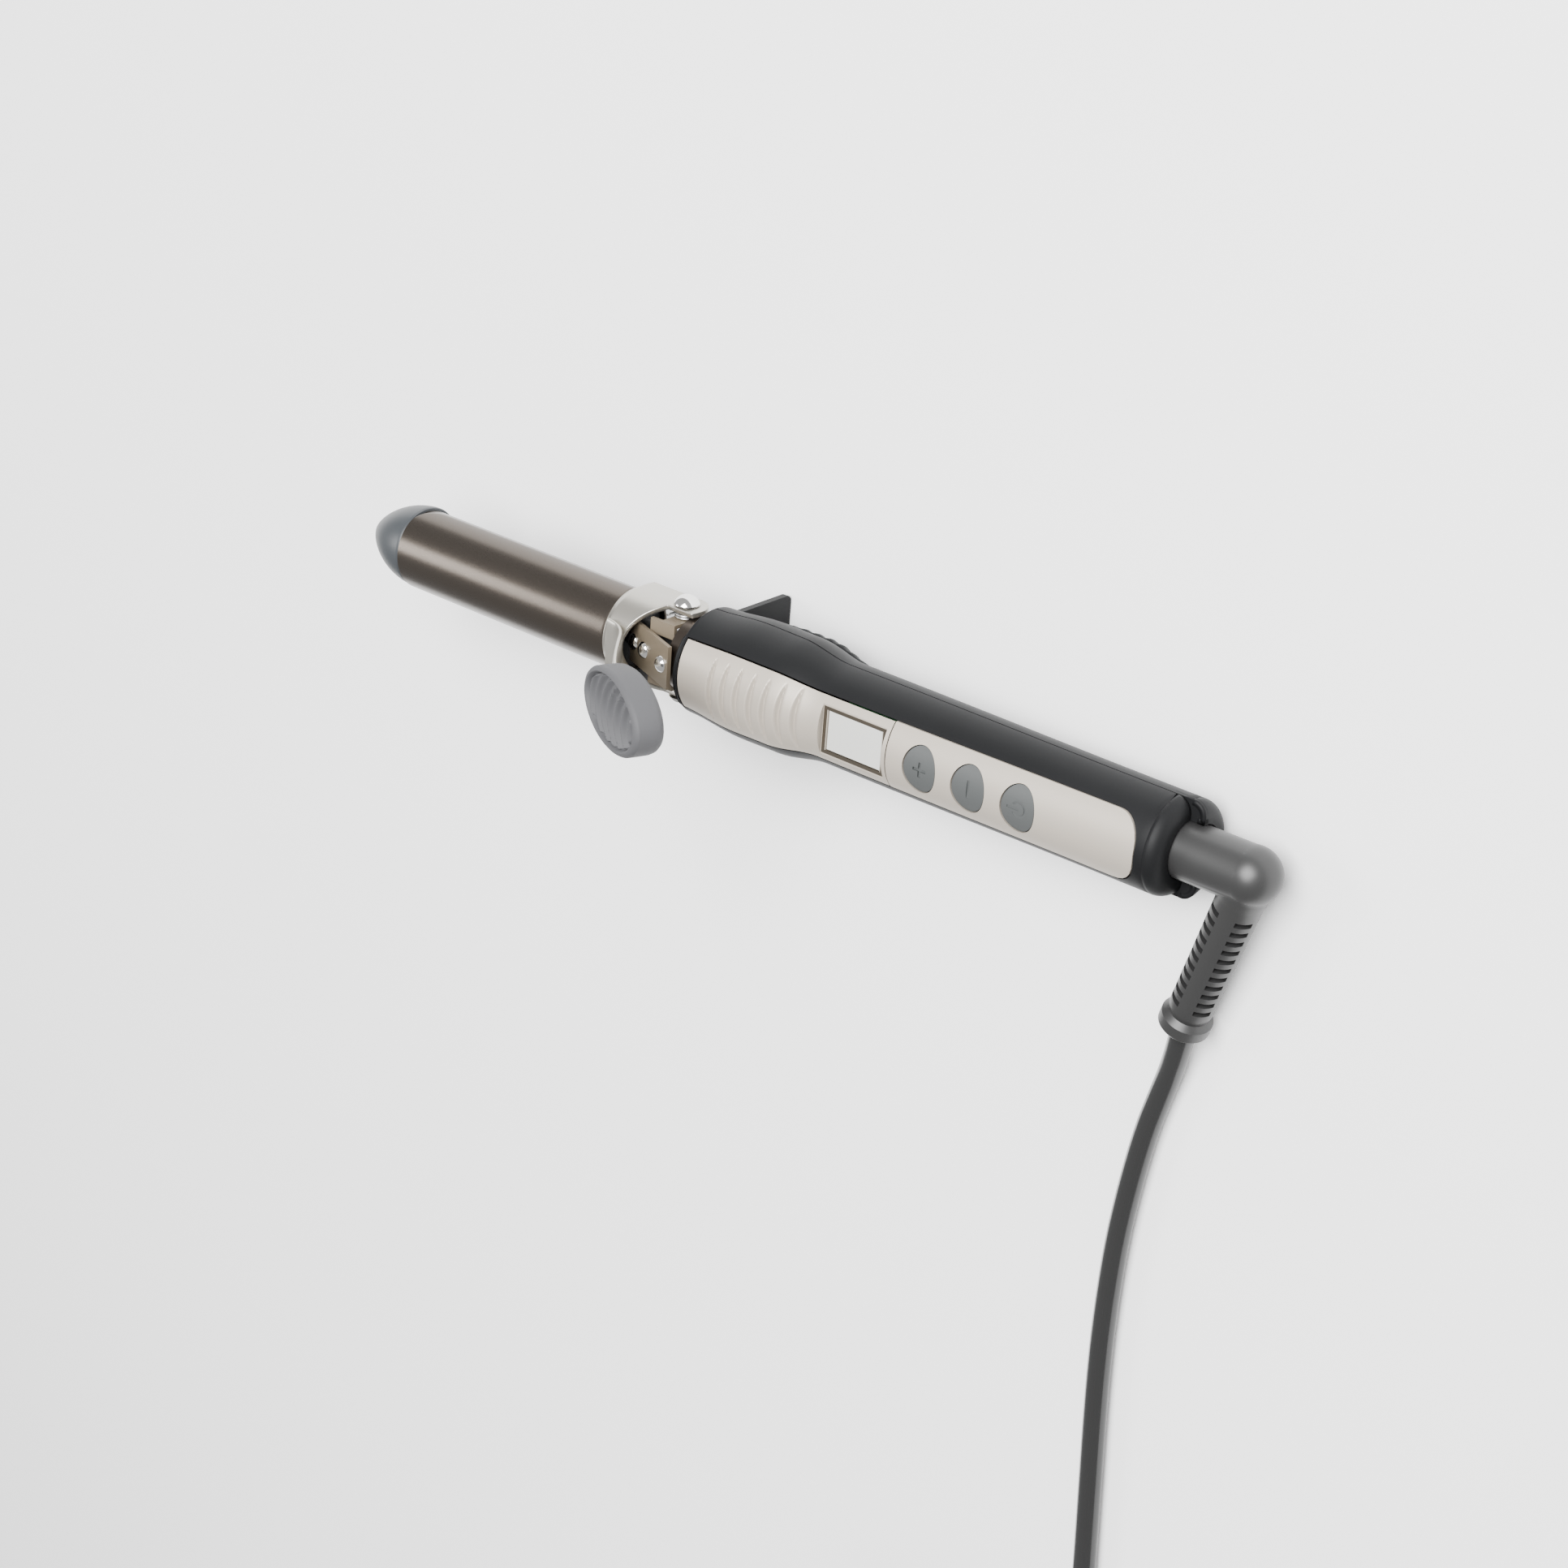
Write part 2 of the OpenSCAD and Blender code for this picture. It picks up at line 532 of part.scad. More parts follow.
// Strain relief: boss in the socket, elbow, then a slotted taper with a flared collar
elbow_s = handle_len + 16.3;
elbow = [shift - elbow_s * cos(tilt), 0, lift - elbow_s * sin(tilt)];
relief_end = [-160.2, 56, 7.8];
relief_v = relief_end - elbow;
relief_len = norm(relief_v);
relief_r = 6.1;
slot_n = 11;
slot_pitch = 3.5;
module along_relief() translate(elbow)
    rotate([0, 0, atan2(relief_v[1], relief_v[0])])
    rotate([0, 90 - asin(relief_v[2] / relief_len), 0]) children();
module strain_relief() color([0.07, 0.07, 0.07]) {
    seat() rotate([0, -90, 0]) {
        translate([0, 0, flange_s - 3.4]) cylinder(r = boss_r + 1.6, h = 3.1);
        translate([0, 0, flange_s - 1]) cylinder(r = boss_r, h = elbow_s - flange_s + 1);
    }
    translate(elbow) sphere(boss_r + 0.15);
    difference() {
        along_relief() {
            rotate_extrude() polygon([[0, 0], [boss_r - 0.3, 0], [relief_r + 0.6, 9], [relief_r + 0.3, relief_len - 8],
                [relief_r - 0.2, relief_len - 6], [7.5, relief_len - 4.4], [7.5, relief_len - 1], [6.6, relief_len],
                [0, relief_len]]);
        }
        along_relief() for (k = [0:3]) rotate([0, 0, 90 * k - 60]) for (i = [0:slot_n - 1])
            translate([-relief_r - 1, -2.6, 12 + i * slot_pitch]) cube([2.6, 5.2, 1.7]);
    }
}

// Cord route on the plane, from the strain relief to the coil
cord_r = cord_d / 2;
route = [[-160.2, 56, 7.8], [-160, 59.5, 7.3], [-158.3, 67, 6], [-156, 75, 4.6], [-153.4, 84, 3.9], [-151, 94, 3.8],
    [-149, 105.5, 3.8], [-147, 121, 3.8], [-145.6, 137, 3.8], [-145, 154, 3.8], [-145, 171, 3.8], [-145.6, 188, 3.8],
    [-146.6, 205, 3.8], [-147.8, 222, 3.8], [-149, 239, 3.8], [-150.2, 256, 3.8], [-151.3, 273, 3.8],
    [-152, 290, 3.8], [-152.4, 307, 3.8], [-152.4, 330, 3.8]];
coil_c = [-100, 358];
tail = [[-152.6, 368, 11], [-153, 378, 9.8], [-153.4, 388, 8.4], [-153.8, 399, 7.2], [-154, 410, 6.8]];

// One closed tube swept along points: a ring of sides at each point, square to the path there
sides = 10;
function dir(p, i) = let (v = p[min(i + 1, len(p) - 1)] - p[max(i - 1, 0)]) v / norm(v);
function ring(p, i, r) = let (t = dir(p, i), a = cross([0, 0, 1], t), u = a / norm(a), w = cross(t, u))
    [for (k = [0:sides - 1]) p[i] + r * (u * cos(360 * k / sides) + w * sin(360 * k / sides))];
module swept(p, r) polyhedron(
    points = [for (i = [0:len(p) - 1]) each ring(p, i, r)],
    faces = concat(
        [[for (k = [sides - 1:-1:0]) k]],
        [for (i = [0:len(p) - 2], k = [0:sides - 1])
            [i * sides + k, i * sides + (k + 1) % sides, (i + 1) * sides + (k + 1) % sides, (i + 1) * sides + k]],
        [[for (k = [0:sides - 1]) (len(p) - 1) * sides + k]]));
module cord_run() color("black") { swept(route, cord_r); swept(tail, cord_r); }

coil_rows = 4;
coil_step = 7.6;
coil_half = (coil_rows * coil_step) / 2;
module cord_coil() color("black") translate([coil_c[0], coil_c[1], 0]) difference() {
    cylinder(r = coil_r + coil_half, h = 2 * coil_step);
    translate([0, 0, -1]) cylinder(r = coil_r - coil_half, h = 40);
}
tie_w = 8;
module cord_tie() color("dimgray") translate([coil_c[0] - tie_w / 2, coil_c[1] - coil_r - coil_half - 0.9, 0])
    difference() {
        cube([tie_w, 2 * coil_half + 1.8, 2 * coil_step + 0.9]);
        translate([-1, 0.5, -1]) cube([tie_w + 2, 2 * coil_half + 0.8, 2 * coil_step + 1.4]);
    }

// Flat two-pin plug
plug_c = [tail[len(tail) - 1][0], tail[len(tail) - 1][1], 0];
plug_len = 36;
plug_w = 27;
plug_h = 13.6;
pin_r = 2;
pin_len = 19;
pin_gap = 19;
module plug_body() color("black") translate(plug_c) rotate([90, 0, 180]) linear_extrude(plug_len, convexity = 4)
    translate([0, plug_h / 2]) {
        square([plug_w - plug_h, plug_h], center = true);
        for (m = [-1, 1]) translate([m * (plug_w - plug_h) / 2, 0]) circle(plug_h / 2);
    }
root_len = 4;
module plug_pins() color(CHROME) for (m = [-1, 1])
    translate(plug_c + [m * pin_gap / 2, plug_len, plug_h / 2]) rotate([-90, 0, 0]) {
        cylinder(r = pin_r, h = pin_len);
        translate([0, 0, -root_len]) cylinder(r = pin_r - 0.5, h = root_len + eps);
    }

seat() front_shell();
seat() back_shell();
seat() back_grip();
seat() neck_ring();
seat() rest_plate();
seat() front_panel();
seat() rear_panel();
seat() display_bezel();
seat() display_window();
seat() display_module();
seat() button_pad();
seat() circuit_board();
seat() tact_switches();
seat() shell_screws();
seat() contact_leaves();
seat() internal_leads();
seat() neck_sleeve();
seat() insulating_core();
seat() clamp_bracket();
seat() bracket_screws();
seat() pivot_rivets();
seat() clamp_spring();
seat() barrel_tube();
seat() barrel_end_ring();
seat() heater_upper_half();
seat() heater_lower_half();
seat() ceramic_heater();
seat() temperature_sensor();
seat() cool_tip();
seat() clamp_plate();
seat() clamp_collar();
seat() thumb_lever();
seat() lever_screws();
seat() plus_button();
seat() minus_button();
seat() power_button();
seat() swivel_spindle();
seat() contact_rings();
strain_relief();
cord_run();
cord_coil();
cord_tie();
plug_body();
plug_pins();
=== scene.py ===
"""Curling iron: its finishes and visible surfaces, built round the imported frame.

Sizes are in millimetres in the iron's own frame: X towards the tip from the handle's front rim, Z up through the
panels. Seat.place() turns them into metres in the row frame.
"""
import json
import logging
import math
from dataclasses import dataclass, field
from enum import Enum

import bpy
import numpy as np
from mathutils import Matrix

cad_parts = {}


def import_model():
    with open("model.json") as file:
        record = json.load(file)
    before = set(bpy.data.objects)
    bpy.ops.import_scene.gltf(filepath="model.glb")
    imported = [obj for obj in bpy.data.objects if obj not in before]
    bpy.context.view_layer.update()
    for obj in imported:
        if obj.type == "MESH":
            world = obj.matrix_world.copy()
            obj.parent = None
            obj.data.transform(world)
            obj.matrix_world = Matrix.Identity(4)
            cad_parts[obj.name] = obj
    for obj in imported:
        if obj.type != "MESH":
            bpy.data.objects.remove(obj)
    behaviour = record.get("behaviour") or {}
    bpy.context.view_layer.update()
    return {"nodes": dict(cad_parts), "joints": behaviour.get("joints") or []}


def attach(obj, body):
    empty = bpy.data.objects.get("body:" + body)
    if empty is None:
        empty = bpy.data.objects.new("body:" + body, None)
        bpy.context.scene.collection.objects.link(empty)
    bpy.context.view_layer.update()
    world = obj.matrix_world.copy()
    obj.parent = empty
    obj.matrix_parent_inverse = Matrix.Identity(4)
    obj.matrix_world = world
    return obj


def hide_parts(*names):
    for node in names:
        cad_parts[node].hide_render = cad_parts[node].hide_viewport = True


LOG = logging.getLogger("curling_iron")
MM = 0.001
Array = np.ndarray


# ---------------------------------------------------------------- frame and mesh helpers

@dataclass(frozen=True)
class Seat:
    """Where the iron's own frame sits in the row frame: nose-up on its rest plate."""

    origin: tuple[float, float, float]
    axis: tuple[float, float, float]

    @classmethod
    def from_joints(cls, joints: list[dict], pivot_x: float = 11.0) -> "Seat":
        """Reads the seat from the clamp's pivot, pivot_x in front of the rim, and the swivel's axis.

        Args:
            joints: the frame's joints.
            pivot_x: the pivot's distance from the rim.
        Returns:
            The seat.
        """
        named = {joint["name"]: joint for joint in joints}
        axis = np.array(named["cord_swivel"]["axis"], float)
        origin = np.array(named["clamp_hinge"]["pos_m"]) - pivot_x * MM * axis
        return cls(tuple(origin), tuple(axis))

    def place(self, points: Array) -> Array:
        """Turns points in the iron's frame into the row frame: origin + x * axis + y * Y + z * up."""
        axis = np.array(self.axis)
        up = np.array([-axis[2], 0.0, axis[0]])
        p = np.asarray(points, float) * MM
        return np.array(self.origin) + p[..., :1] * axis + p[..., 1:2] * np.array([0, 1.0, 0]) + p[..., 2:] * up


def grid_faces(rows: int, cols: int, wrap: bool = False) -> Array:
    """Quads of a grid of rows by cols points, with the columns joined round when wrap is set."""
    i = np.arange(rows - 1)[:, None]
    j = np.arange(cols if wrap else cols - 1)[None, :]
    k = (j + 1) % cols
    return np.stack([i * cols + j, i * cols + k, (i + 1) * cols + k, (i + 1) * cols + j], -1).reshape(-1, 4)


def make_mesh(name: str, points: Array, faces: list, smooth: bool = True) -> bpy.types.Object:
    """Puts points and faces into a new object, merged at its doubles and with its normals outwards.

    Args:
        name: the piece's name.
        points: N by 3, in metres in the row frame.
        faces: tuples of point indices.
        smooth: whether faces are shaded smooth, but for edges sharper than 35 degrees.
    Returns:
        The object, linked to the scene.
    """
    import bmesh

    mesh = bpy.data.meshes.new(name)
    mesh.from_pydata(np.asarray(points, float).tolist(), [], [tuple(int(k) for k in f) for f in faces])
    work = bmesh.new()
    work.from_mesh(mesh)
    bmesh.ops.remove_doubles(work, verts=work.verts, dist=2e-6)
    bmesh.ops.dissolve_degenerate(work, edges=work.edges, dist=1e-7)
    bmesh.ops.recalc_face_normals(work, faces=work.faces)
    sharp = math.radians(35)
    for edge in work.edges:
        edge.smooth = not (len(edge.link_faces) == 2 and edge.calc_face_angle(0) > sharp)
    for face in work.faces:
        face.smooth = smooth
    work.to_mesh(mesh)
    work.free()
    obj = bpy.data.objects.new(name, mesh)
    bpy.context.scene.collection.objects.link(obj)
    return obj


def join_grids(grids: list[tuple[Array, bool]], caps: tuple = ()) -> tuple[Array, list]:
    """Stacks grids of points, each rows by cols by 3 with its wrap flag, into one list of points and faces."""
    points, faces, start = [], [], 0
    for grid, wrap in grids:
        rows, cols = grid.shape[:2]
        points.append(grid.reshape(-1, 3))
        faces += (grid_faces(rows, cols, wrap) + start).tolist()
        if "ends" in caps:
            faces.append(list(range(start + cols - 1, start - 1, -1)))
            faces.append(list(range(start + (rows - 1) * cols, start + rows * cols)))
        start += rows * cols
    return np.concatenate(points), faces


def wall(obj: bpy.types.Object, thickness: float, bevel: float = 0.0) -> None:
    """Gives a surface its wall, inwards, in millimetres, and rounds its edges by bevel."""
    solid = obj.modifiers.new("wall", "SOLIDIFY")
    solid.thickness = thickness * MM
    solid.offset = -1.0
    if bevel:
        round_edges(obj, bevel)


def round_edges(obj: bpy.types.Object, width: float, angle: float = 40.0) -> None:
    """Rounds edges sharper than angle by width, in millimetres."""
    cut = obj.modifiers.new("edges", "BEVEL")
    cut.width = width * MM
    cut.segments = 2
    cut.limit_method = "ANGLE"
    cut.angle_limit = math.radians(angle)
    cut.harden_normals = False


def smooth_group() -> bpy.types.NodeTree:
    """A geometry group that merges loose triangles and shades them smooth up to an edge angle of 30 degrees."""
    name = "smooth_by_angle"
    if name in bpy.data.node_groups:
        return bpy.data.node_groups[name]
    tree = bpy.data.node_groups.new(name, "GeometryNodeTree")
    tree.interface.new_socket("Geometry", in_out="INPUT", socket_type="NodeSocketGeometry")
    tree.interface.new_socket("Geometry", in_out="OUTPUT", socket_type="NodeSocketGeometry")
    nodes, links = tree.nodes, tree.links
    source, sink = nodes.new("NodeGroupInput"), nodes.new("NodeGroupOutput")
    merge = nodes.new("GeometryNodeMergeByDistance")
    merge.inputs["Distance"].default_value = 2e-6
    faces = nodes.new("GeometryNodeSetShadeSmooth")
    edges = nodes.new("GeometryNodeSetShadeSmooth")
    edges.domain = "EDGE"
    angle = nodes.new("GeometryNodeInputMeshEdgeAngle")
    test = nodes.new("FunctionNodeCompare")
    test.data_type, test.operation = "FLOAT", "LESS_THAN"
    test.inputs[1].default_value = math.radians(30)
    links.new(source.outputs[0], merge.inputs["Geometry"])
    links.new(merge.outputs[0], faces.inputs["Geometry"])
    links.new(faces.outputs[0], edges.inputs["Geometry"])
    links.new(angle.outputs["Unsigned Angle"], test.inputs[0])
    links.new(test.outputs[0], edges.inputs["Shade Smooth"])
    links.new(edges.outputs[0], sink.inputs[0])
    return tree


def smooth_node(obj: bpy.types.Object) -> None:
    """Shades a CAD node smooth by a live modifier, so that its own mesh stays as it is."""
    obj.modifiers.new("smooth", "NODES").node_group = smooth_group()


# ---------------------------------------------------------------- finishes

def shader_group(name: str, inputs: dict[str, float], outputs: dict[str, str]) -> tuple:
    """A new shader group with float inputs and named outputs, and its nodes.

    Args:
        name: the group's name.
        inputs: input name to default value.
        outputs: output name to socket type.
    Returns:
        The tree, its input node and its output node.
    """
    tree = bpy.data.node_groups.new(name, "ShaderNodeTree")
    for key, value in inputs.items():
        kind = "NodeSocketVector" if key == "Vector" else "NodeSocketFloat"
        socket = tree.interface.new_socket(key, in_out="INPUT", socket_type=kind)
        if key != "Vector":
            socket.default_value = value
    for key, kind in outputs.items():
        tree.interface.new_socket(key, in_out="OUTPUT", socket_type=kind)
    return tree, tree.nodes.new("NodeGroupInput"), tree.nodes.new("NodeGroupOutput")


def grain_group() -> bpy.types.NodeTree:
    """Fine moulded or blasted grain: two noises, 1 and 3.7 times the scale, as a bump normal and a 0 to 1 value."""
    if "fine_grain" in bpy.data.node_groups:
        return bpy.data.node_groups["fine_grain"]
    tree, source, sink = shader_group(
        "fine_grain", {"Vector": 0, "Scale": 1500, "Depth": 0.1},
        {"Normal": "NodeSocketVector", "Value": "NodeSocketFloat"})
    nodes, links = tree.nodes, tree.links
    coarse, fine = nodes.new("ShaderNodeTexNoise"), nodes.new("ShaderNodeTexNoise")
    finer = nodes.new("ShaderNodeMath")
    finer.operation = "MULTIPLY"
    finer.inputs[1].default_value = 3.7
    mix = nodes.new("ShaderNodeMath")
    mix.operation = "ADD"
    half = nodes.new("ShaderNodeMath")
    half.operation = "MULTIPLY"
    half.inputs[1].default_value = 0.5
    bump = nodes.new("ShaderNodeBump")
    bump.inputs["Distance"].default_value = 0.00006
    links.new(source.outputs["Vector"], coarse.inputs["Vector"])
    links.new(source.outputs["Vector"], fine.inputs["Vector"])
    links.new(source.outputs["Scale"], coarse.inputs["Scale"])
    links.new(source.outputs["Scale"], finer.inputs[0])
    links.new(finer.outputs[0], fine.inputs["Scale"])
    links.new(coarse.outputs["Fac"], mix.inputs[0])
    links.new(fine.outputs["Fac"], mix.inputs[1])
    links.new(mix.outputs[0], half.inputs[0])
    links.new(half.outputs[0], bump.inputs["Height"])
    links.new(source.outputs["Depth"], bump.inputs["Strength"])
    links.new(bump.outputs[0], sink.inputs["Normal"])
    links.new(half.outputs[0], sink.inputs["Value"])
    return tree


def cloud_group() -> bpy.types.NodeTree:
    """Broad clouding from handling: a soft noise with a few specks, as a 0 to 1 value."""
    if "handling_clouds" in bpy.data.node_groups:
        return bpy.data.node_groups["handling_clouds"]
    tree, source, sink = shader_group(
        "handling_clouds", {"Vector": 0, "Scale": 40, "Specks": 0.1}, {"Value": "NodeSocketFloat"})
    nodes, links = tree.nodes, tree.links
    soft = nodes.new("ShaderNodeTexNoise")
    soft.inputs["Detail"].default_value = 5
    specks = nodes.new("ShaderNodeTexVoronoi")
    specks.inputs["Scale"].default_value = 260
    edge = nodes.new("ShaderNodeMath")
    edge.operation = "LESS_THAN"
    edge.inputs[1].default_value = 0.045
    amount = nodes.new("ShaderNodeMath")
    amount.operation = "MULTIPLY"
    total = nodes.new("ShaderNodeMath")
    total.operation = "ADD"
    total.use_clamp = True
    links.new(source.outputs["Vector"], soft.inputs["Vector"])
    links.new(source.outputs["Vector"], specks.inputs["Vector"])
    links.new(source.outputs["Scale"], soft.inputs["Scale"])
    links.new(specks.outputs["Distance"], edge.inputs[0])
    links.new(edge.outputs[0], amount.inputs[0])
    links.new(source.outputs["Specks"], amount.inputs[1])
    links.new(soft.outputs["Fac"], total.inputs[0])
    links.new(amount.outputs[0], total.inputs[1])
    links.new(total.outputs[0], sink.inputs["Value"])
    return tree


@dataclass(frozen=True)
class Finish:
    """One finish: a base colour that clouds towards a second one, a roughness range and a grain."""

    name: str
    color: tuple[float, float, float]
    clouded: tuple[float, float, float]
    rough: tuple[float, float] = (0.35, 0.5)
    metallic: float = 0.0
    grain: float = 1500.0
    depth: float = 0.15
    clouds: float = 40.0
    specks: float = 0.05
    coat: float = 0.0
    coat_rough: float = 0.1
    specular: float = 0.5
    stretch: tuple[float, float, float] = (1.0, 1.0, 1.0)

    def build(self) -> bpy.types.Material:
        """Builds the material on Object coordinates, unless the file has one of this name already.

        A finish named like one of the frame's own materials is therefore not built, and the frame's plain
        colour shows in its place.
        """
        if self.name in bpy.data.materials:
            return bpy.data.materials[self.name]
        material = bpy.data.materials.new(self.name)
        material.use_nodes = True
        nodes, links = material.node_tree.nodes, material.node_tree.links
        shader = nodes["Principled BSDF"]
        shader.inputs["Metallic"].default_value = self.metallic
        shader.inputs["Coat Weight"].default_value = self.coat
        shader.inputs["Coat Roughness"].default_value = self.coat_rough
        shader.inputs["Specular IOR Level"].default_value = self.specular
        place, scale = nodes.new("ShaderNodeTexCoord"), nodes.new("ShaderNodeMapping")
        scale.inputs["Scale"].default_value = self.stretch
        grain, cloud = nodes.new("ShaderNodeGroup"), nodes.new("ShaderNodeGroup")
        grain.node_tree, cloud.node_tree = grain_group(), cloud_group()
        grain.inputs["Scale"].default_value = self.grain
        grain.inputs["Depth"].default_value = self.depth
        cloud.inputs["Scale"].default_value = self.clouds
        cloud.inputs["Specks"].default_value = self.specks
        mix = nodes.new("ShaderNodeMix")
        mix.data_type = "RGBA"
        mix.inputs[6].default_value = (*self.color, 1)
        mix.inputs[7].default_value = (*self.clouded, 1)
        rough = nodes.new("ShaderNodeMapRange")
        rough.inputs["To Min"].default_value, rough.inputs["To Max"].default_value = self.rough
        links.new(place.outputs["Object"], scale.inputs["Vector"])
        for group in (grain, cloud):
            links.new(scale.outputs[0], group.inputs["Vector"])
        links.new(cloud.outputs["Value"], mix.inputs[0])
        links.new(mix.outputs[2], shader.inputs["Base Color"])
        links.new(grain.outputs["Value"], rough.inputs["Value"])
        links.new(rough.outputs[0], shader.inputs["Roughness"])
        links.new(grain.outputs["Normal"], shader.inputs["Normal"])
        return material


class Coat(Enum):
    """Every finish on the iron."""

    SOFT_TOUCH = Finish("soft_touch", (0.0052, 0.0054, 0.0058), (0.0085, 0.0088, 0.0095), (0.44, 0.58),
                        depth=0.14, grain=1800,
                        specks=0.15, specular=0.13)
    GRIP = Finish("ribbed_grip", (0.006, 0.0066, 0.0072), (0.01, 0.0106, 0.0114), (0.5, 0.66), depth=0.22, grain=1300,
                  specular=0.13)
    CHAMPAGNE = Finish("champagne_satin", (0.062, 0.052, 0.042), (0.082, 0.07, 0.057), (0.27, 0.38),
                       metallic=0.92, depth=0.32,
                       grain=1400, clouds=24, specks=0.02)
    WARM_METAL = Finish("warm_satin_metal", (0.088, 0.075, 0.064), (0.112, 0.097, 0.083), (0.24, 0.33),
                        metallic=0.95, depth=0.12,
                        clouds=18, specks=0.0, stretch=(0.3, 1.5, 1.5))
    COLLAR_METAL = Finish("collar_metal", (0.11, 0.101, 0.09), (0.135, 0.125, 0.113), (0.24, 0.33),
                          metallic=0.95, depth=0.12,
                          grain=1700, clouds=22, specks=0.0)
    NECK_METAL = Finish("neck_metal", (0.06, 0.049, 0.041), (0.085, 0.07, 0.058), (0.24, 0.34), metallic=0.9,
                        depth=0.08)
    # Near black: the bracket's own bronze tone, darkened as painted shade where it sits under the collar's arch.
    BRONZE_DARKENED_AS_SHADE = Finish("bracket_bronze", (0.016, 0.012, 0.008), (0.034, 0.026, 0.018), (0.2, 0.32), metallic=0.9,
                    depth=0.15)
    CHROME = Finish("chrome", (0.46, 0.44, 0.41), (0.54, 0.52, 0.49), (0.07, 0.13), metallic=1.0, depth=0.02)
    # The real black of the insulating parts, also put on the collar's inner faces as painted shade.
    INSULATOR_AND_PAINTED_SHADE = Finish("insulator_black", (0.003, 0.003, 0.003), (0.005, 0.005, 0.005), (0.5, 0.65), depth=0.2,
                       specular=0.1)
    LEVER = Finish("lever_charcoal", (0.0035, 0.0036, 0.004), (0.0055, 0.0056, 0.006), (0.4, 0.52), depth=0.2,
                   grain=1600,
                   specular=0.07)
    BUTTON = Finish("button_charcoal", (0.0045, 0.0047, 0.005), (0.0068, 0.007, 0.0074), (0.34, 0.44),
                    depth=0.12, grain=2000,
                    specular=0.07)
    TIP = Finish("tip_charcoal", (0.0055, 0.0078, 0.009), (0.009, 0.0115, 0.013), (0.36, 0.48), depth=0.12,
                 specular=0.07)
    WINDOW = Finish("window_grey", (0.1, 0.1, 0.091), (0.115, 0.115, 0.105), (0.3, 0.36), depth=0.01,
                    clouds=12, specks=0.0,
                    coat=0.4, coat_rough=0.12)
    BEZEL = Finish("bezel_satin", (0.12, 0.102, 0.08), (0.16, 0.138, 0.11), (0.26, 0.38), metallic=0.85, depth=0.08)
    RELIEF = Finish("relief_black", (0.0022, 0.0023, 0.0025), (0.0036, 0.0037, 0.004), (0.32, 0.44),
                    depth=0.15, specular=0.07)
    CORD = Finish("cord_black", (0.0034, 0.0034, 0.0037), (0.0056, 0.0056, 0.006), (0.18, 0.28), depth=0.05, coat=0.2,
                  coat_rough=0.15, specular=0.07)
    PLUG = Finish("plug_black", (0.005, 0.005, 0.005), (0.009, 0.009, 0.009), (0.35, 0.5), depth=0.2, specular=0.2)
    NICKEL = Finish("pin_nickel", (0.66, 0.63, 0.57), (0.72, 0.69, 0.63), (0.12, 0.2), metallic=1.0, depth=0.03)
    STEEL = Finish("plain_steel", (0.5, 0.5, 0.5), (0.6, 0.6, 0.6), (0.25, 0.4), metallic=1.0, depth=0.06)
    BRASS = Finish("contact_brass", (0.65, 0.48, 0.2), (0.75, 0.58, 0.28), (0.2, 0.35), metallic=1.0, depth=0.05)
    ALUMINIUM = Finish("extruded_aluminium", (0.6, 0.6, 0.6), (0.7, 0.7, 0.7), (0.3, 0.45), metallic=1.0, depth=0.1)
    BOARD = Finish("board_green", (0.015, 0.10, 0.035), (0.02, 0.14, 0.05), (0.3, 0.4), depth=0.06)
    SILICONE = Finish("silicone_grey", (0.22, 0.22, 0.23), (0.3, 0.3, 0.31), (0.5, 0.6), depth=0.1)
    CERAMIC = Finish("ceramic_white", (0.72, 0.7, 0.66), (0.8, 0.78, 0.74), (0.2, 0.3), depth=0.05)
    AMBER = Finish("sensor_amber", (0.5, 0.2, 0.04), (0.6, 0.28, 0.07), (0.15, 0.25), depth=0.02)
    LEAD = Finish("lead_red", (0.3, 0.02, 0.015), (0.36, 0.03, 0.02), (0.35, 0.45), depth=0.08)
    IVORY = Finish("spindle_ivory", (0.6, 0.57, 0.48), (0.68, 0.65, 0.56), (0.4, 0.5), depth=0.08)


def dress(obj: bpy.types.Object, coat: Coat) -> None:
    """Gives an object one finish in all its slots."""
    material = coat.value.build()
    if not obj.data.materials:
        obj.data.materials.append(material)
    for index in range(len(obj.data.materials)):
        obj.data.materials[index] = material


def declare(obj: bpy.types.Object, coat: Coat, nodes: str, body: str) -> bpy.types.Object:
    """Dresses a piece, makes it ride on its body and stand for its CAD nodes.

    Args:
        obj: the piece.
        coat: its finish.
        nodes: the CAD nodes it stands for, separated by spaces.
        body: the body it rides on.
    Returns:
        The piece.
    """
    dress(obj, coat)
    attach(obj, body)
    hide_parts(*nodes.split())
    LOG.info("built %s for %s", obj.name, nodes)
    return obj


CAD_COATS: dict[Coat, str] = {
    Coat.SOFT_TOUCH: "rest_plate",
    Coat.INSULATOR_AND_PAINTED_SHADE: "neck_ring insulating_core barrel_end_ring tact_switches",
    Coat.CHAMPAGNE: "rear_panel",
    Coat.BEZEL: "display_bezel",
    Coat.CERAMIC: "ceramic_heater display_module",
    Coat.SILICONE: "button_pad",
    Coat.BOARD: "circuit_board",
    Coat.STEEL: "shell_screws clamp_spring",
    Coat.BRASS: "contact_leaves contact_rings",
    Coat.LEAD: "internal_leads",
    Coat.NECK_METAL: "neck_sleeve",
    Coat.WARM_METAL: "barrel_tube",
    Coat.BRONZE_DARKENED_AS_SHADE: "clamp_bracket",
    Coat.CHROME: "bracket_screws pivot_rivets",
    Coat.ALUMINIUM: "heater_upper_half heater_lower_half",
    Coat.AMBER: "temperature_sensor",
    Coat.BUTTON: "plus_button minus_button power_button",
    Coat.IVORY: "swivel_spindle",
    Coat.RELIEF: "strain_relief",
    Coat.NICKEL: "plug_pins",
}


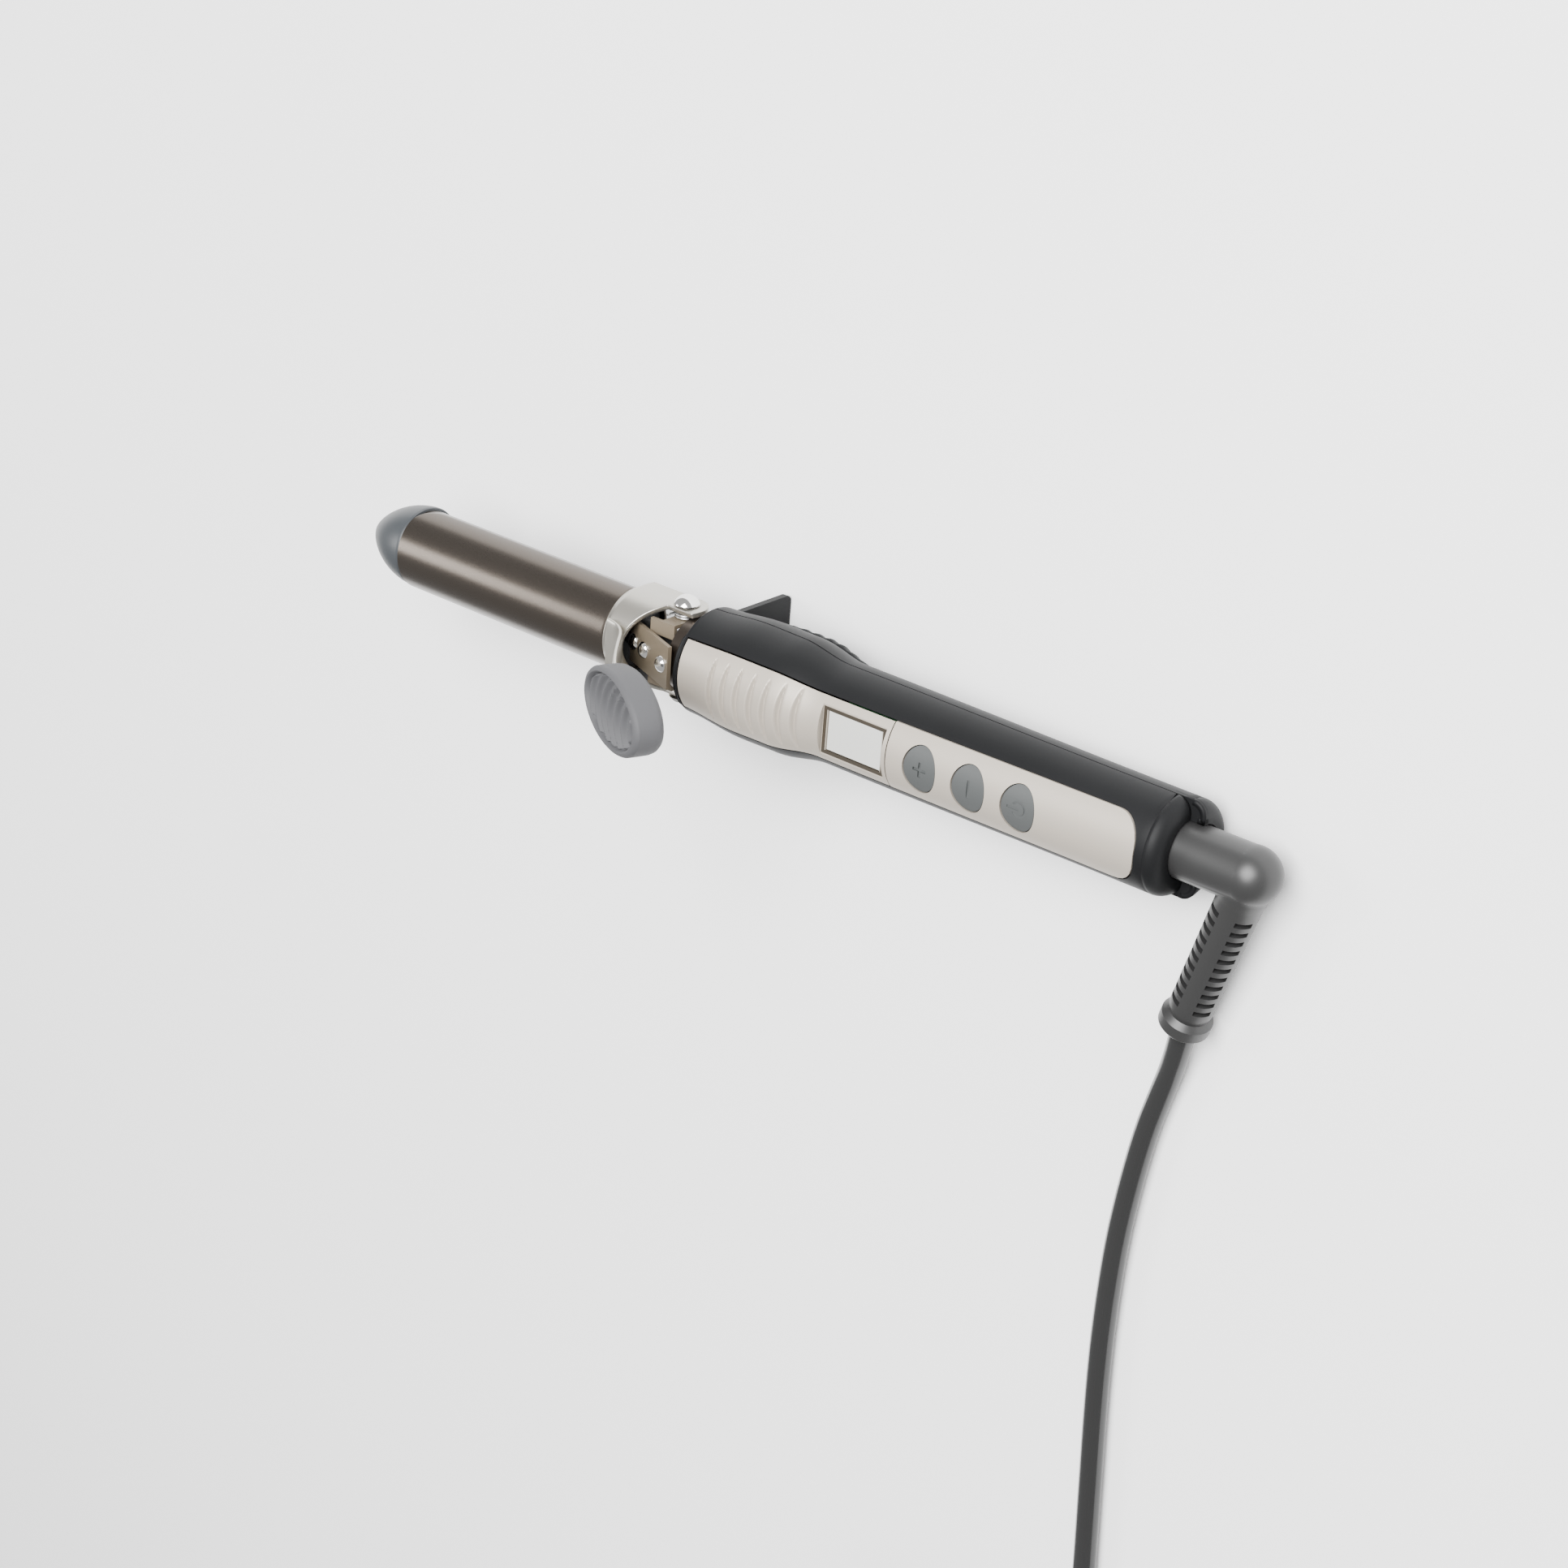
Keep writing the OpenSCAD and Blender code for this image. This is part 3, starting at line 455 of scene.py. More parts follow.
def dress_cad(nodes: dict[str, bpy.types.Object]) -> None:
    """Gives every CAD node that stays its finish and its smooth shading."""
    for coat, names in CAD_COATS.items():
        for name in names.split():
            dress(nodes[name], coat)
            smooth_node(nodes[name])
            LOG.info("dressed %s as %s", name, coat.value.name)


# ---------------------------------------------------------------- room and camera

@dataclass
class Studio:
    """Plain pale floor, soft lights and the camera."""

    azimuth: float = -56.416
    elevation: float = 40.685
    roll: float = 109.152
    distance: float = 0.86548
    aim: tuple[float, float, float] = (-0.01073, 0.03508, 0.020)
    lens: float = 64.89

    def basis(self) -> tuple[Array, Array, Array]:
        """The camera's right, up and backward directions, from its azimuth, elevation and roll."""
        az, el, roll = (math.radians(a) for a in (self.azimuth, self.elevation, self.roll))
        back = np.array([math.sin(az) * math.cos(el), -math.cos(az) * math.cos(el), math.sin(el)])
        level = np.array([math.cos(az), math.sin(az), 0.0])
        upright = np.cross(back, level)
        right = math.cos(roll) * level - math.sin(roll) * upright
        up = np.cross(back, right)
        return right, up, back

    def camera(self) -> None:
        """Sets the camera at its distance from the aim point."""
        from mathutils import Matrix

        right, up, back = self.basis()
        data = bpy.data.cameras.new("camera")
        data.lens, data.sensor_width = self.lens, 36.0
        data.clip_start, data.clip_end = 0.01, 50
        obj = bpy.data.objects.new("camera", data)
        rows = [[right[k], up[k], back[k], self.aim[k] + back[k] * self.distance] for k in range(3)]
        obj.matrix_world = Matrix(rows + [[0, 0, 0, 1]])
        bpy.context.scene.collection.objects.link(obj)
        bpy.context.scene.camera = obj

    def light(self, name: str, place: tuple, aim: tuple, size: float, power: float) -> None:
        """A square soft light at place, facing aim, size metres wide."""
        from mathutils import Vector

        data = bpy.data.lights.new(name, "AREA")
        data.size, data.energy = size, power
        obj = bpy.data.objects.new(name, data)
        obj.location = place
        obj.rotation_euler = (Vector(place) - Vector(aim)).to_track_quat("Z", "Y").to_euler()
        bpy.context.scene.collection.objects.link(obj)

    def build(self) -> None:
        """Floor, world and lights."""
        half, depth = 3.0, -0.0004
        corners = np.array([[x * half, y * half, depth] for x, y in ((-1, -1), (1, -1), (1, 1), (-1, 1))])
        floor = make_mesh("floor", corners, [(0, 1, 2, 3)], smooth=False)
        dress_floor = bpy.data.materials.new("floor_white")
        dress_floor.use_nodes = True
        shader = dress_floor.node_tree.nodes["Principled BSDF"]
        shader.inputs["Base Color"].default_value = (0.93, 0.93, 0.93, 1)
        shader.inputs["Roughness"].default_value = 0.9
        shader.inputs["Emission Color"].default_value = (1, 1, 1, 1)
        shader.inputs["Emission Strength"].default_value = 0.22
        floor.data.materials.append(dress_floor)
        world = bpy.context.scene.world or bpy.data.worlds.new("world")
        bpy.context.scene.world = world
        world.use_nodes = True
        world.node_tree.nodes["Background"].inputs[0].default_value = (1, 1, 1, 1)
        world.node_tree.nodes["Background"].inputs[1].default_value = 0.55
        self.light("key", (-0.55, -0.9, 1.6), (0, 0, 0.03), 1.3, 130)
        self.light("gloss", (0.95, -0.1, 0.95), (-0.02, 0, 0.03), 0.45, 7)


# ---------------------------------------------------------------- cord

def through(points: Array, per_span: int = 6) -> Array:
    """A smooth line through points: Catmull-Rom spans, each a cubic of its four nearest points.

    Args:
        points: N by 3.
        per_span: points worked out in each span.
    Returns:
        The line's points.
    """
    p = np.vstack([2 * points[0] - points[1], points, 2 * points[-1] - points[-2]])
    t = np.linspace(0, 1, per_span, endpoint=False)[None, :, None]
    a, b, c, d = (p[k:len(p) - 3 + k, None, :] for k in range(4))
    line = 0.5 * (2 * b + (c - a) * t + (2 * a - 5 * b + 4 * c - d) * t**2 + (3 * b - a - 3 * c + d) * t**3)
    return np.vstack([line.reshape(-1, points.shape[1]), points[-1:]])


def squared(wave: Array, power: float) -> Array:
    """A cosine or sine raised to a power with its sign kept, which squares off an ellipse."""
    return np.sign(wave) * np.abs(wave) ** power


@dataclass
class Cord:
    """The mains cord: a run on the surface, a coil of two layers, a short tail and the plug. Row frame, mm."""

    diameter: float = 7.5
    route: list = field(default_factory=lambda: [
        (-160.2, 56, 7.8), (-160, 59.5, 7.3), (-158.3, 67, 6), (-156, 75, 4.6), (-153.4, 84, 3.9), (-151, 94, 3.8),
        (-149, 105.5, 3.8), (-147, 121, 3.8), (-145.6, 137, 3.8), (-145, 154, 3.8), (-145, 171, 3.8),
        (-145.6, 188, 3.8), (-146.6, 205, 3.8), (-147.8, 222, 3.8), (-149, 239, 3.8), (-150.2, 256, 3.8),
        (-151.3, 273, 3.8), (-152, 290, 3.8), (-152.4, 307, 3.8), (-152.4, 330, 3.8)])
    tail: list = field(default_factory=lambda: [
        (-152.6, 368, 11), (-153, 378, 9.8), (-153.4, 388, 8.4), (-153.8, 399, 7.2), (-154, 410, 6.8)])
    coil_center: tuple[float, float] = (-100.0, 358.0)
    coil_radius: float = 41.0
    step: float = 7.6
    turns: int = 3
    climb: float = 0.25
    per_turn: int = 40
    plug_len: float = 36.0
    plug_w: float = 27.0
    plug_h: float = 13.6

    def coil(self) -> Array:
        """Two flat spirals, one step apart in height, joined by a climb of a quarter turn inside.

        The radius falls by a step a turn in the lower layer and grows again in the upper one, clockwise from the
        coil's -X side, so the upper layer leaves over the place where the lower one came in.
        """
        outer = self.coil_radius + self.turns * self.step / 2
        total = 2 * self.turns
        turn = np.linspace(0, total, int(total * self.per_turn))
        down = np.clip(turn, 0, self.turns)
        up = np.clip(turn - self.turns - self.climb, 0, None) * self.turns / (self.turns - self.climb)
        radius = outer - self.step * down + self.step * up
        rise = np.clip((turn - self.turns) / self.climb, 0, 1)
        height = 3.8 + self.step * (3 * rise**2 - 2 * rise**3)
        angle = math.pi - 2 * math.pi * turn
        return np.stack([self.coil_center[0] + radius * np.cos(angle),
                         self.coil_center[1] + radius * np.sin(angle), height], -1)

    def line(self) -> Array:
        """The whole centreline: the run, the coil and the tail, as one smooth line."""
        run, coil, tail = np.array(self.route, float), self.coil(), np.array(self.tail, float)
        return np.vstack([through(run, 5), coil, through(np.vstack([coil[-1:], tail]), 5)[1:]])

    def build(self, nodes: dict[str, bpy.types.Object]) -> None:
        line = self.line() * MM
        curve = bpy.data.curves.new("mains_cord", "CURVE")
        curve.dimensions = "3D"
        curve.bevel_depth = self.diameter / 2 * MM
        curve.bevel_resolution = 4
        curve.use_fill_caps = True
        spline = curve.splines.new("POLY")
        spline.points.add(len(line) - 1)
        spline.points.foreach_set("co", np.hstack([line, np.ones((len(line), 1))]).ravel())
        spline.use_smooth = True
        cord = bpy.data.objects.new("mains_cord", curve)
        bpy.context.scene.collection.objects.link(cord)
        curve.materials.append(Coat.CORD.value.build())
        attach(cord, "cord")
        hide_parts("cord_run", "cord_coil")
        tie, plug = self.tie(), self.plug()

    def tie(self) -> bpy.types.Object:
        """A flat strap round the coil's section: a rounded rectangle of thickness 0.8, carried 8 mm along X."""
        half_w = self.turns * self.step / 2 + self.diameter / 2 + 0.5
        mid = (self.coil_center[0], self.coil_center[1] - self.coil_radius, self.step)
        a = np.linspace(0, 2 * math.pi, 49)[:-1]
        shape = squared(np.cos(a), 0.4), squared(np.sin(a), 0.4)
        across = ((-4.0, 0.25), (-3.6, 0.0), (3.6, 0.0), (4.0, 0.25))
        grid = np.stack([np.stack([np.full_like(a, mid[0] + x), mid[1] + (half_w - tuck) * shape[0],
                                   mid[2] + 0.4 + (self.step + 0.35 - tuck) * shape[1]], -1)
                         for x, tuck in across])
        grid[..., 2] = np.maximum(grid[..., 2], 0.05)
        points, faces = join_grids([(grid, True)])
        obj = make_mesh("cord_strap", points * MM, faces)
        wall(obj, 0.6)
        return declare(obj, Coat.SOFT_TOUCH, "cord_tie", "cord")

    def plug(self) -> bpy.types.Object:
        """A flat two-pin plug: superellipse sections along Y that swell to the pin face and narrow to the cord."""
        x0, y0, _ = self.tail[-1]
        t = np.array([0, 0.0, 0.02, 0.06, 0.14, 0.24, 0.36, 0.5, 0.64, 0.8, 0.93, 0.98, 1.0, 1.0])
        swell = np.array([0.0, 0.34, 0.38, 0.40, 0.43, 0.52, 0.66, 0.82, 0.93, 0.98, 1.0, 0.985, 0.95, 0.0])
        flat = np.array([0.0, 0.62, 0.68, 0.7, 0.72, 0.78, 0.86, 0.93, 0.97, 1.0, 1.0, 0.985, 0.93, 0.0])
        a = np.linspace(0, 2 * math.pi, 65)[:-1]
        cx, cz = squared(np.cos(a), 0.62), squared(np.sin(a), 0.62)
        grid = np.stack([np.stack([x0 + self.plug_w / 2 * s * cx, np.full_like(a, y0 + self.plug_len * k),
                                   self.plug_h / 2 * (1 + f * cz)], -1) for k, s, f in zip(t, swell, flat)])
        points, faces = join_grids([(grid, True)])
        obj = make_mesh("mains_plug", points * MM, faces)
        return declare(obj, Coat.PLUG, "plug_body", "cord")


# ---------------------------------------------------------------- handle

def ramp(t: Array) -> Array:
    """Cosine ramp from 0 to 1."""
    return (1 - np.cos(math.pi * np.clip(t, 0, 1))) / 2


@dataclass
class Handle:
    """The two shells, the front panel and the back grip."""

    seat: Seat
    length: float = 177.0
    rear_step: float = 4.5
    stations: tuple = ((0, 17.0), (22, 18.5), (35, 18.3), (54, 15.6), (172.5, 14.8))
    end_round: float = 4.5
    socket_r: float = 8.48
    panel_front: float = 1.6
    panel_rear: float = 165.0
    panel_joint: float = 80.5
    panel_angle: float = 40.5
    waist_half: float = 10.15
    corner: float = 8.0
    gap: float = 0.3
    seam_r: float = 16.0
    seam_dip: float = 0.4
    rim_lip: float = 0.6
    wall: float = 1.6
    window: tuple[float, float, float] = (55.5, 79.0, 13.4)
    grooves: tuple = tuple(15 + 5.25 * i for i in range(7))
    grip: tuple[float, float, float] = (18.1, 51.9, 51.0)

    @property
    def half_seam(self) -> float:
        """Half the seam's gap as an angle, at the seam's mean radius."""
        return self.gap / 2 / self.seam_r

    def radius(self, s: Array) -> Array:
        """Outer radius at s behind the rim: the stations joined by cosine ramps."""
        s = np.asarray(s, float)
        r = np.full_like(s, self.stations[-1][1])
        for (s0, r0), (s1, r1) in reversed(list(zip(self.stations, self.stations[1:]))):
            r = np.where(s <= s1, r0 + (r1 - r0) * ramp((s - s0) / (s1 - s0)), r)
        return r

    def panel_half(self, s: Array) -> Array:
        """Half width of the inlay at s, which follows the swell and then stays as wide as at the waist."""
        s = np.asarray(s, float)
        swell = self.radius(s) * math.sin(math.radians(self.panel_angle))
        return np.where(s < self.stations[3][0], swell, self.waist_half)

    def on_body(self, s: Array, phi: Array, sink: Array = 0.0) -> Array:
        """Points at s behind the rim and the angle phi from the top, sunk below the surface."""
        r = self.radius(s) - sink
        return np.stack(np.broadcast_arrays(-np.asarray(s, float), r * np.sin(phi), r * np.cos(phi)), -1)

    def edge_line(self) -> tuple[Array, Array, Array, Array]:
        """The inlay's outline with its gap, as (s, phi), and the shell's own outline that it is joined to."""
        g = self.gap
        half = lambda s: np.arcsin(np.clip((self.panel_half(s) + g) / self.radius(s), -1, 1))
        s_front, s_corner = self.panel_front - g, self.panel_rear + g - self.corner
        side = np.linspace(s_front, s_corner, 90)
        turn = np.linspace(0, math.pi / 2, 14)[1:]
        wide = float(self.panel_half(100.0)) + g
        corner_s = s_corner + self.corner * np.sin(turn)
        corner_w = wide - self.corner + self.corner * np.cos(turn)
        corner_phi = np.arcsin(corner_w / self.radius(corner_s))
        front_phi = np.linspace(0, float(half(s_front)), 16)
        rear_phi = np.linspace(corner_phi[-1], 0, 6)[1:]
        s_in = np.concatenate([np.full(16, s_front), side[1:], corner_s, np.full(5, corner_s[-1])])
        p_in = np.concatenate([front_phi, half(side[1:]), corner_phi, rear_phi])
        seam = math.pi / 2 - self.half_seam
        s_end = self.length - self.rear_step - self.end_round
        s_out = np.concatenate([np.full(16, 0.6), 0.6 + (side[1:] - s_front) * (s_corner - 0.6) / (s_corner - s_front),
                                np.linspace(s_corner, s_end, 15)[1:-1], np.full(5, s_end)])
        p_out = np.concatenate([np.linspace(0, seam, 16), np.full(102, seam), np.linspace(seam, 0, 6)[1:]])
        return s_in, p_in, s_out, p_out

    def upper_shell(self) -> bpy.types.Object:
        """The upper shell: strips from the inlay's outline to the seam, the rim's roll and the rear end.

        A point is a straight blend of the two outlines in (s, phi), carried onto the body. Its edges dip a little,
        which rounds the joints.
        """
        s_in, p_in, s_out, p_out = self.edge_line()
        v = np.concatenate([[0, 0.002], np.linspace(0.004, 1, 24), [1.0]])[:, None]
        s = s_in + (s_out - s_in) * v
        phi = p_in + (p_out - p_in) * v
        at_seam = np.abs(p_out - p_out.max()) < 1e-9
        sink = np.zeros((len(v), len(s_in)))
        sink[0], sink[1] = 0.28, 0.07
        sink[-1] = self.seam_dip * at_seam
        grids = [(self.on_body(s, side * phi, sink), False) for side in (1, -1)]
        half_turn = math.pi / 2 - self.half_seam
        grids += self.ends(-half_turn, half_turn, self.length - self.rear_step)
        return self.shell_piece("front_shell_skin", grids, "front_shell")

    def ends(self, start: float, stop: float, rear: float) -> list:
        """The rim's inward roll and the rounded rear end with its socket, between two angles.

        Args:
            start: first angle from the top.
            stop: last angle from the top.
            rear: where this shell ends, behind the rim.
        Returns:
            Two grids with their wrap flags.
        """
        phi = np.linspace(start, stop, 61)
        roll = np.linspace(0, math.pi / 2, 9)
        lip, rim = self.rim_lip, self.stations[0][1]
        rim_s = np.concatenate([lip - lip * np.sin(roll), [0.0, 0.2]])
        rim_r = np.concatenate([rim - lip + lip * np.cos(roll), [15.2, 14.9]])
        s0 = rear - self.end_round
        r0 = float(self.radius(np.array(s0)))
        rear_s = np.concatenate([s0 + self.end_round * np.sin(roll), [rear, rear - 0.4, rear - 2.4]])
        rear_r = np.concatenate([r0 - self.end_round + self.end_round * np.cos(roll),
                                 [self.socket_r + 0.4, self.socket_r, self.socket_r]])

        def ring(s: Array, r: Array) -> Array:
            """Rings of radius r at s, between the two angles."""
            return np.stack([np.broadcast_to(-s[:, None], (len(s), len(phi))), r[:, None] * np.sin(phi),
                             r[:, None] * np.cos(phi)], -1)

        return [(ring(rim_s, rim_r), False), (ring(rear_s, rear_r), False)]

    def lower_shell(self) -> bpy.types.Object:
        """The lower shell: the body from seam to seam, with its edges dipped, the rim's roll and the rear end."""
        start, stop = math.pi / 2 + self.half_seam, 1.5 * math.pi - self.half_seam
        phi = np.concatenate([[start], np.linspace(start + 0.01, stop - 0.01, 70), [stop]])
        s = np.concatenate([np.linspace(0.6, 60, 50), np.linspace(63, self.length - self.end_round, 40)])[:, None]
        sink = np.zeros(len(phi))
        sink[[0, -1]] = self.seam_dip
        grids = [(self.on_body(s, phi, sink), False)] + self.ends(start, stop, self.length)
        return self.shell_piece("back_shell_skin", grids, "back_shell")

    def ledges(self) -> bpy.types.Object:
        """The two closed slabs beside the swivel, where the lower shell reaches past the upper one."""
        turn = np.linspace(0, math.pi / 2, 9)
        s0 = self.length - self.end_round
        r0 = float(self.radius(np.array(s0)))
        s = np.concatenate([[s0 - self.rear_step - 2], s0 + self.end_round * np.sin(turn)])
        y = np.concatenate([[r0], r0 - self.end_round + self.end_round * np.cos(turn)]) - 0.05
        s, y = np.append(s, [s[-1], s[0]]), np.append(y, [self.socket_r, self.socket_r])
        ring = lambda side, z: np.stack([-s, side * y, np.full_like(s, z)], -1)
        heights = (-self.gap / 2, -self.gap / 2 - self.wall)
        slabs = [(np.stack([ring(side, z) for z in heights]), True) for side in (1, -1)]
        points, faces = join_grids(slabs, ("ends",))
        obj = make_mesh("back_shell_ledges", self.seat.place(points), faces)
        return declare(obj, Coat.SOFT_TOUCH, "back_shell", "handle")

    def shell_piece(self, name: str, grids: list, node: str) -> bpy.types.Object:
        """Makes one shell from its grids, with its wall, finish and body."""
        points, faces = join_grids(grids)
        obj = make_mesh(name, self.seat.place(points), faces)
        wall(obj, self.wall)
        return declare(obj, Coat.SOFT_TOUCH, node, "handle")

    def front_panel(self) -> bpy.types.Object:
        """The grooved front panel: the body's skin between its two long edges, lowered by seven crescents.

        A crescent's depth falls off as a bell across it and as a half ellipse along it. The display's recess is
        the same skin cut down to a plane, and inside its frame it drops once more for the window.
        """
        s0, s1, level = self.window
        frame_s, frame_w = (s0 + 1.7, s1 - 1.6), 6.3
        tight = 0.04
        front, rear = self.panel_front, self.panel_joint - self.gap / 2
        s = np.concatenate([
            [front, front + 0.12], np.linspace(front + 0.4, 53.5, 210),
            [54.5, s0 - tight, s0, s0 + 0.5, frame_s[0] - tight, frame_s[0], frame_s[0] + 0.4],
            np.linspace(59, 75.5, 12),
            [frame_s[1] - 0.4, frame_s[1], frame_s[1] + tight, s1 - 0.5, s1, s1 + tight, rear - 0.12, rear]])
        half = np.concatenate([[frame_w / self.waist_half, (frame_w + tight) / self.waist_half],
                               np.linspace(0.64, 0.97, 12), [0.988, 1]])
        u = np.concatenate([-half[::-1], np.linspace(-0.59, 0.59, 31), half])
        ss, uu = np.meshgrid(s, u, indexing="ij")
        w = uu * self.panel_half(ss)
        phi = np.arcsin(w / self.radius(ss))
        sink = np.zeros_like(ss)
        for center in self.grooves:
            along = np.clip(1 - (w / 9.7) ** 2, 0, 1)
            width = 0.26 + 0.5 * along
            bend = 0.7 * (1 - along)
            across = (ss - center - bend) / width
            sink += 1.35 * along**0.5 * np.exp(-np.abs(across) ** np.where(across > 0, 1.6, 3.0))
        sink[:, [0, -1]] += 0.2
        sink[[0, -1], :] += 0.15
        p = self.on_body(ss, phi, sink)
        inside = (ss >= s0) & (ss <= s1)
        p[..., 2] = np.where(inside, np.minimum(p[..., 2], level), p[..., 2])
        framed = (ss >= frame_s[0]) & (ss <= frame_s[1]) & (np.abs(w) <= frame_w + 1e-6)
        p[..., 2] = np.where(framed, level - 0.75, p[..., 2])
        points, faces = join_grids([(p, False)])
        obj = make_mesh("front_panel_skin", self.seat.place(points), faces)
        wall(obj, 0.7)
        return declare(obj, Coat.CHAMPAGNE, "front_panel", "handle")

    def display(self) -> bpy.types.Object:
        """The window: a flat pane with a small edge radius, a little below the recess's floor."""
        s0, s1, level = self.window
        a0, a1, half = s0 + 1.95, s1 - 1.85, 6.05
        ring = lambda inset, z: np.array([[-a0 - inset, -half + inset, z], [-a1 + inset, -half + inset, z],
                                          [-a1 + inset, half - inset, z], [-a0 - inset, half - inset, z]])
        grid = np.stack([ring(0, level - 0.85), ring(0, level - 0.3), ring(0.12, level - 0.2)])
        points, faces = join_grids([(grid, True)], ("ends",))
        obj = make_mesh("display_pane", self.seat.place(points), faces)
        return declare(obj, Coat.WINDOW, "display_window", "handle")

    def back_grip(self) -> bpy.types.Object:
        """The ribbed grip: the body's skin raised by waves 4.9 mm apart, falling to the shell at its border."""
        s0, s1, half = self.grip
        s = np.linspace(s0, s1, 150)
        a = np.radians(np.linspace(-half, half, 60))
        ss, aa = np.meshgrid(s, a, indexing="ij")
        k = (ss - s0) / (s1 - s0)
        border = np.clip(1 - np.abs(aa / math.radians(half)) ** 6, 0, 1) ** 0.5
        ribs = 0.35 * (1 - np.cos(2 * math.pi * (ss - s0) / 4.9)) * np.sin(math.pi * k)
        rise = 0.5 + 0.8 * np.sin(math.pi * k**0.7) + ribs
        ends = np.clip(np.minimum(ss - s0, s1 - ss) / 1.2, 0, 1) ** 0.5
        height = -0.5 + (rise + 0.5) * border * ends
        p = self.on_body(ss, math.pi + aa, -height)
        points, faces = join_grids([(p, False)])
        obj = make_mesh("back_grip_skin", self.seat.place(points), faces)
        wall(obj, 0.5)
        return declare(obj, Coat.GRIP, "back_grip", "handle")

    def build(self) -> None:
        """Builds every piece of the handle."""
        self.upper_shell()
        self.lower_shell()
        self.ledges()
        self.front_panel()
        self.display()
        self.back_grip()


# ---------------------------------------------------------------- barrel and clamp

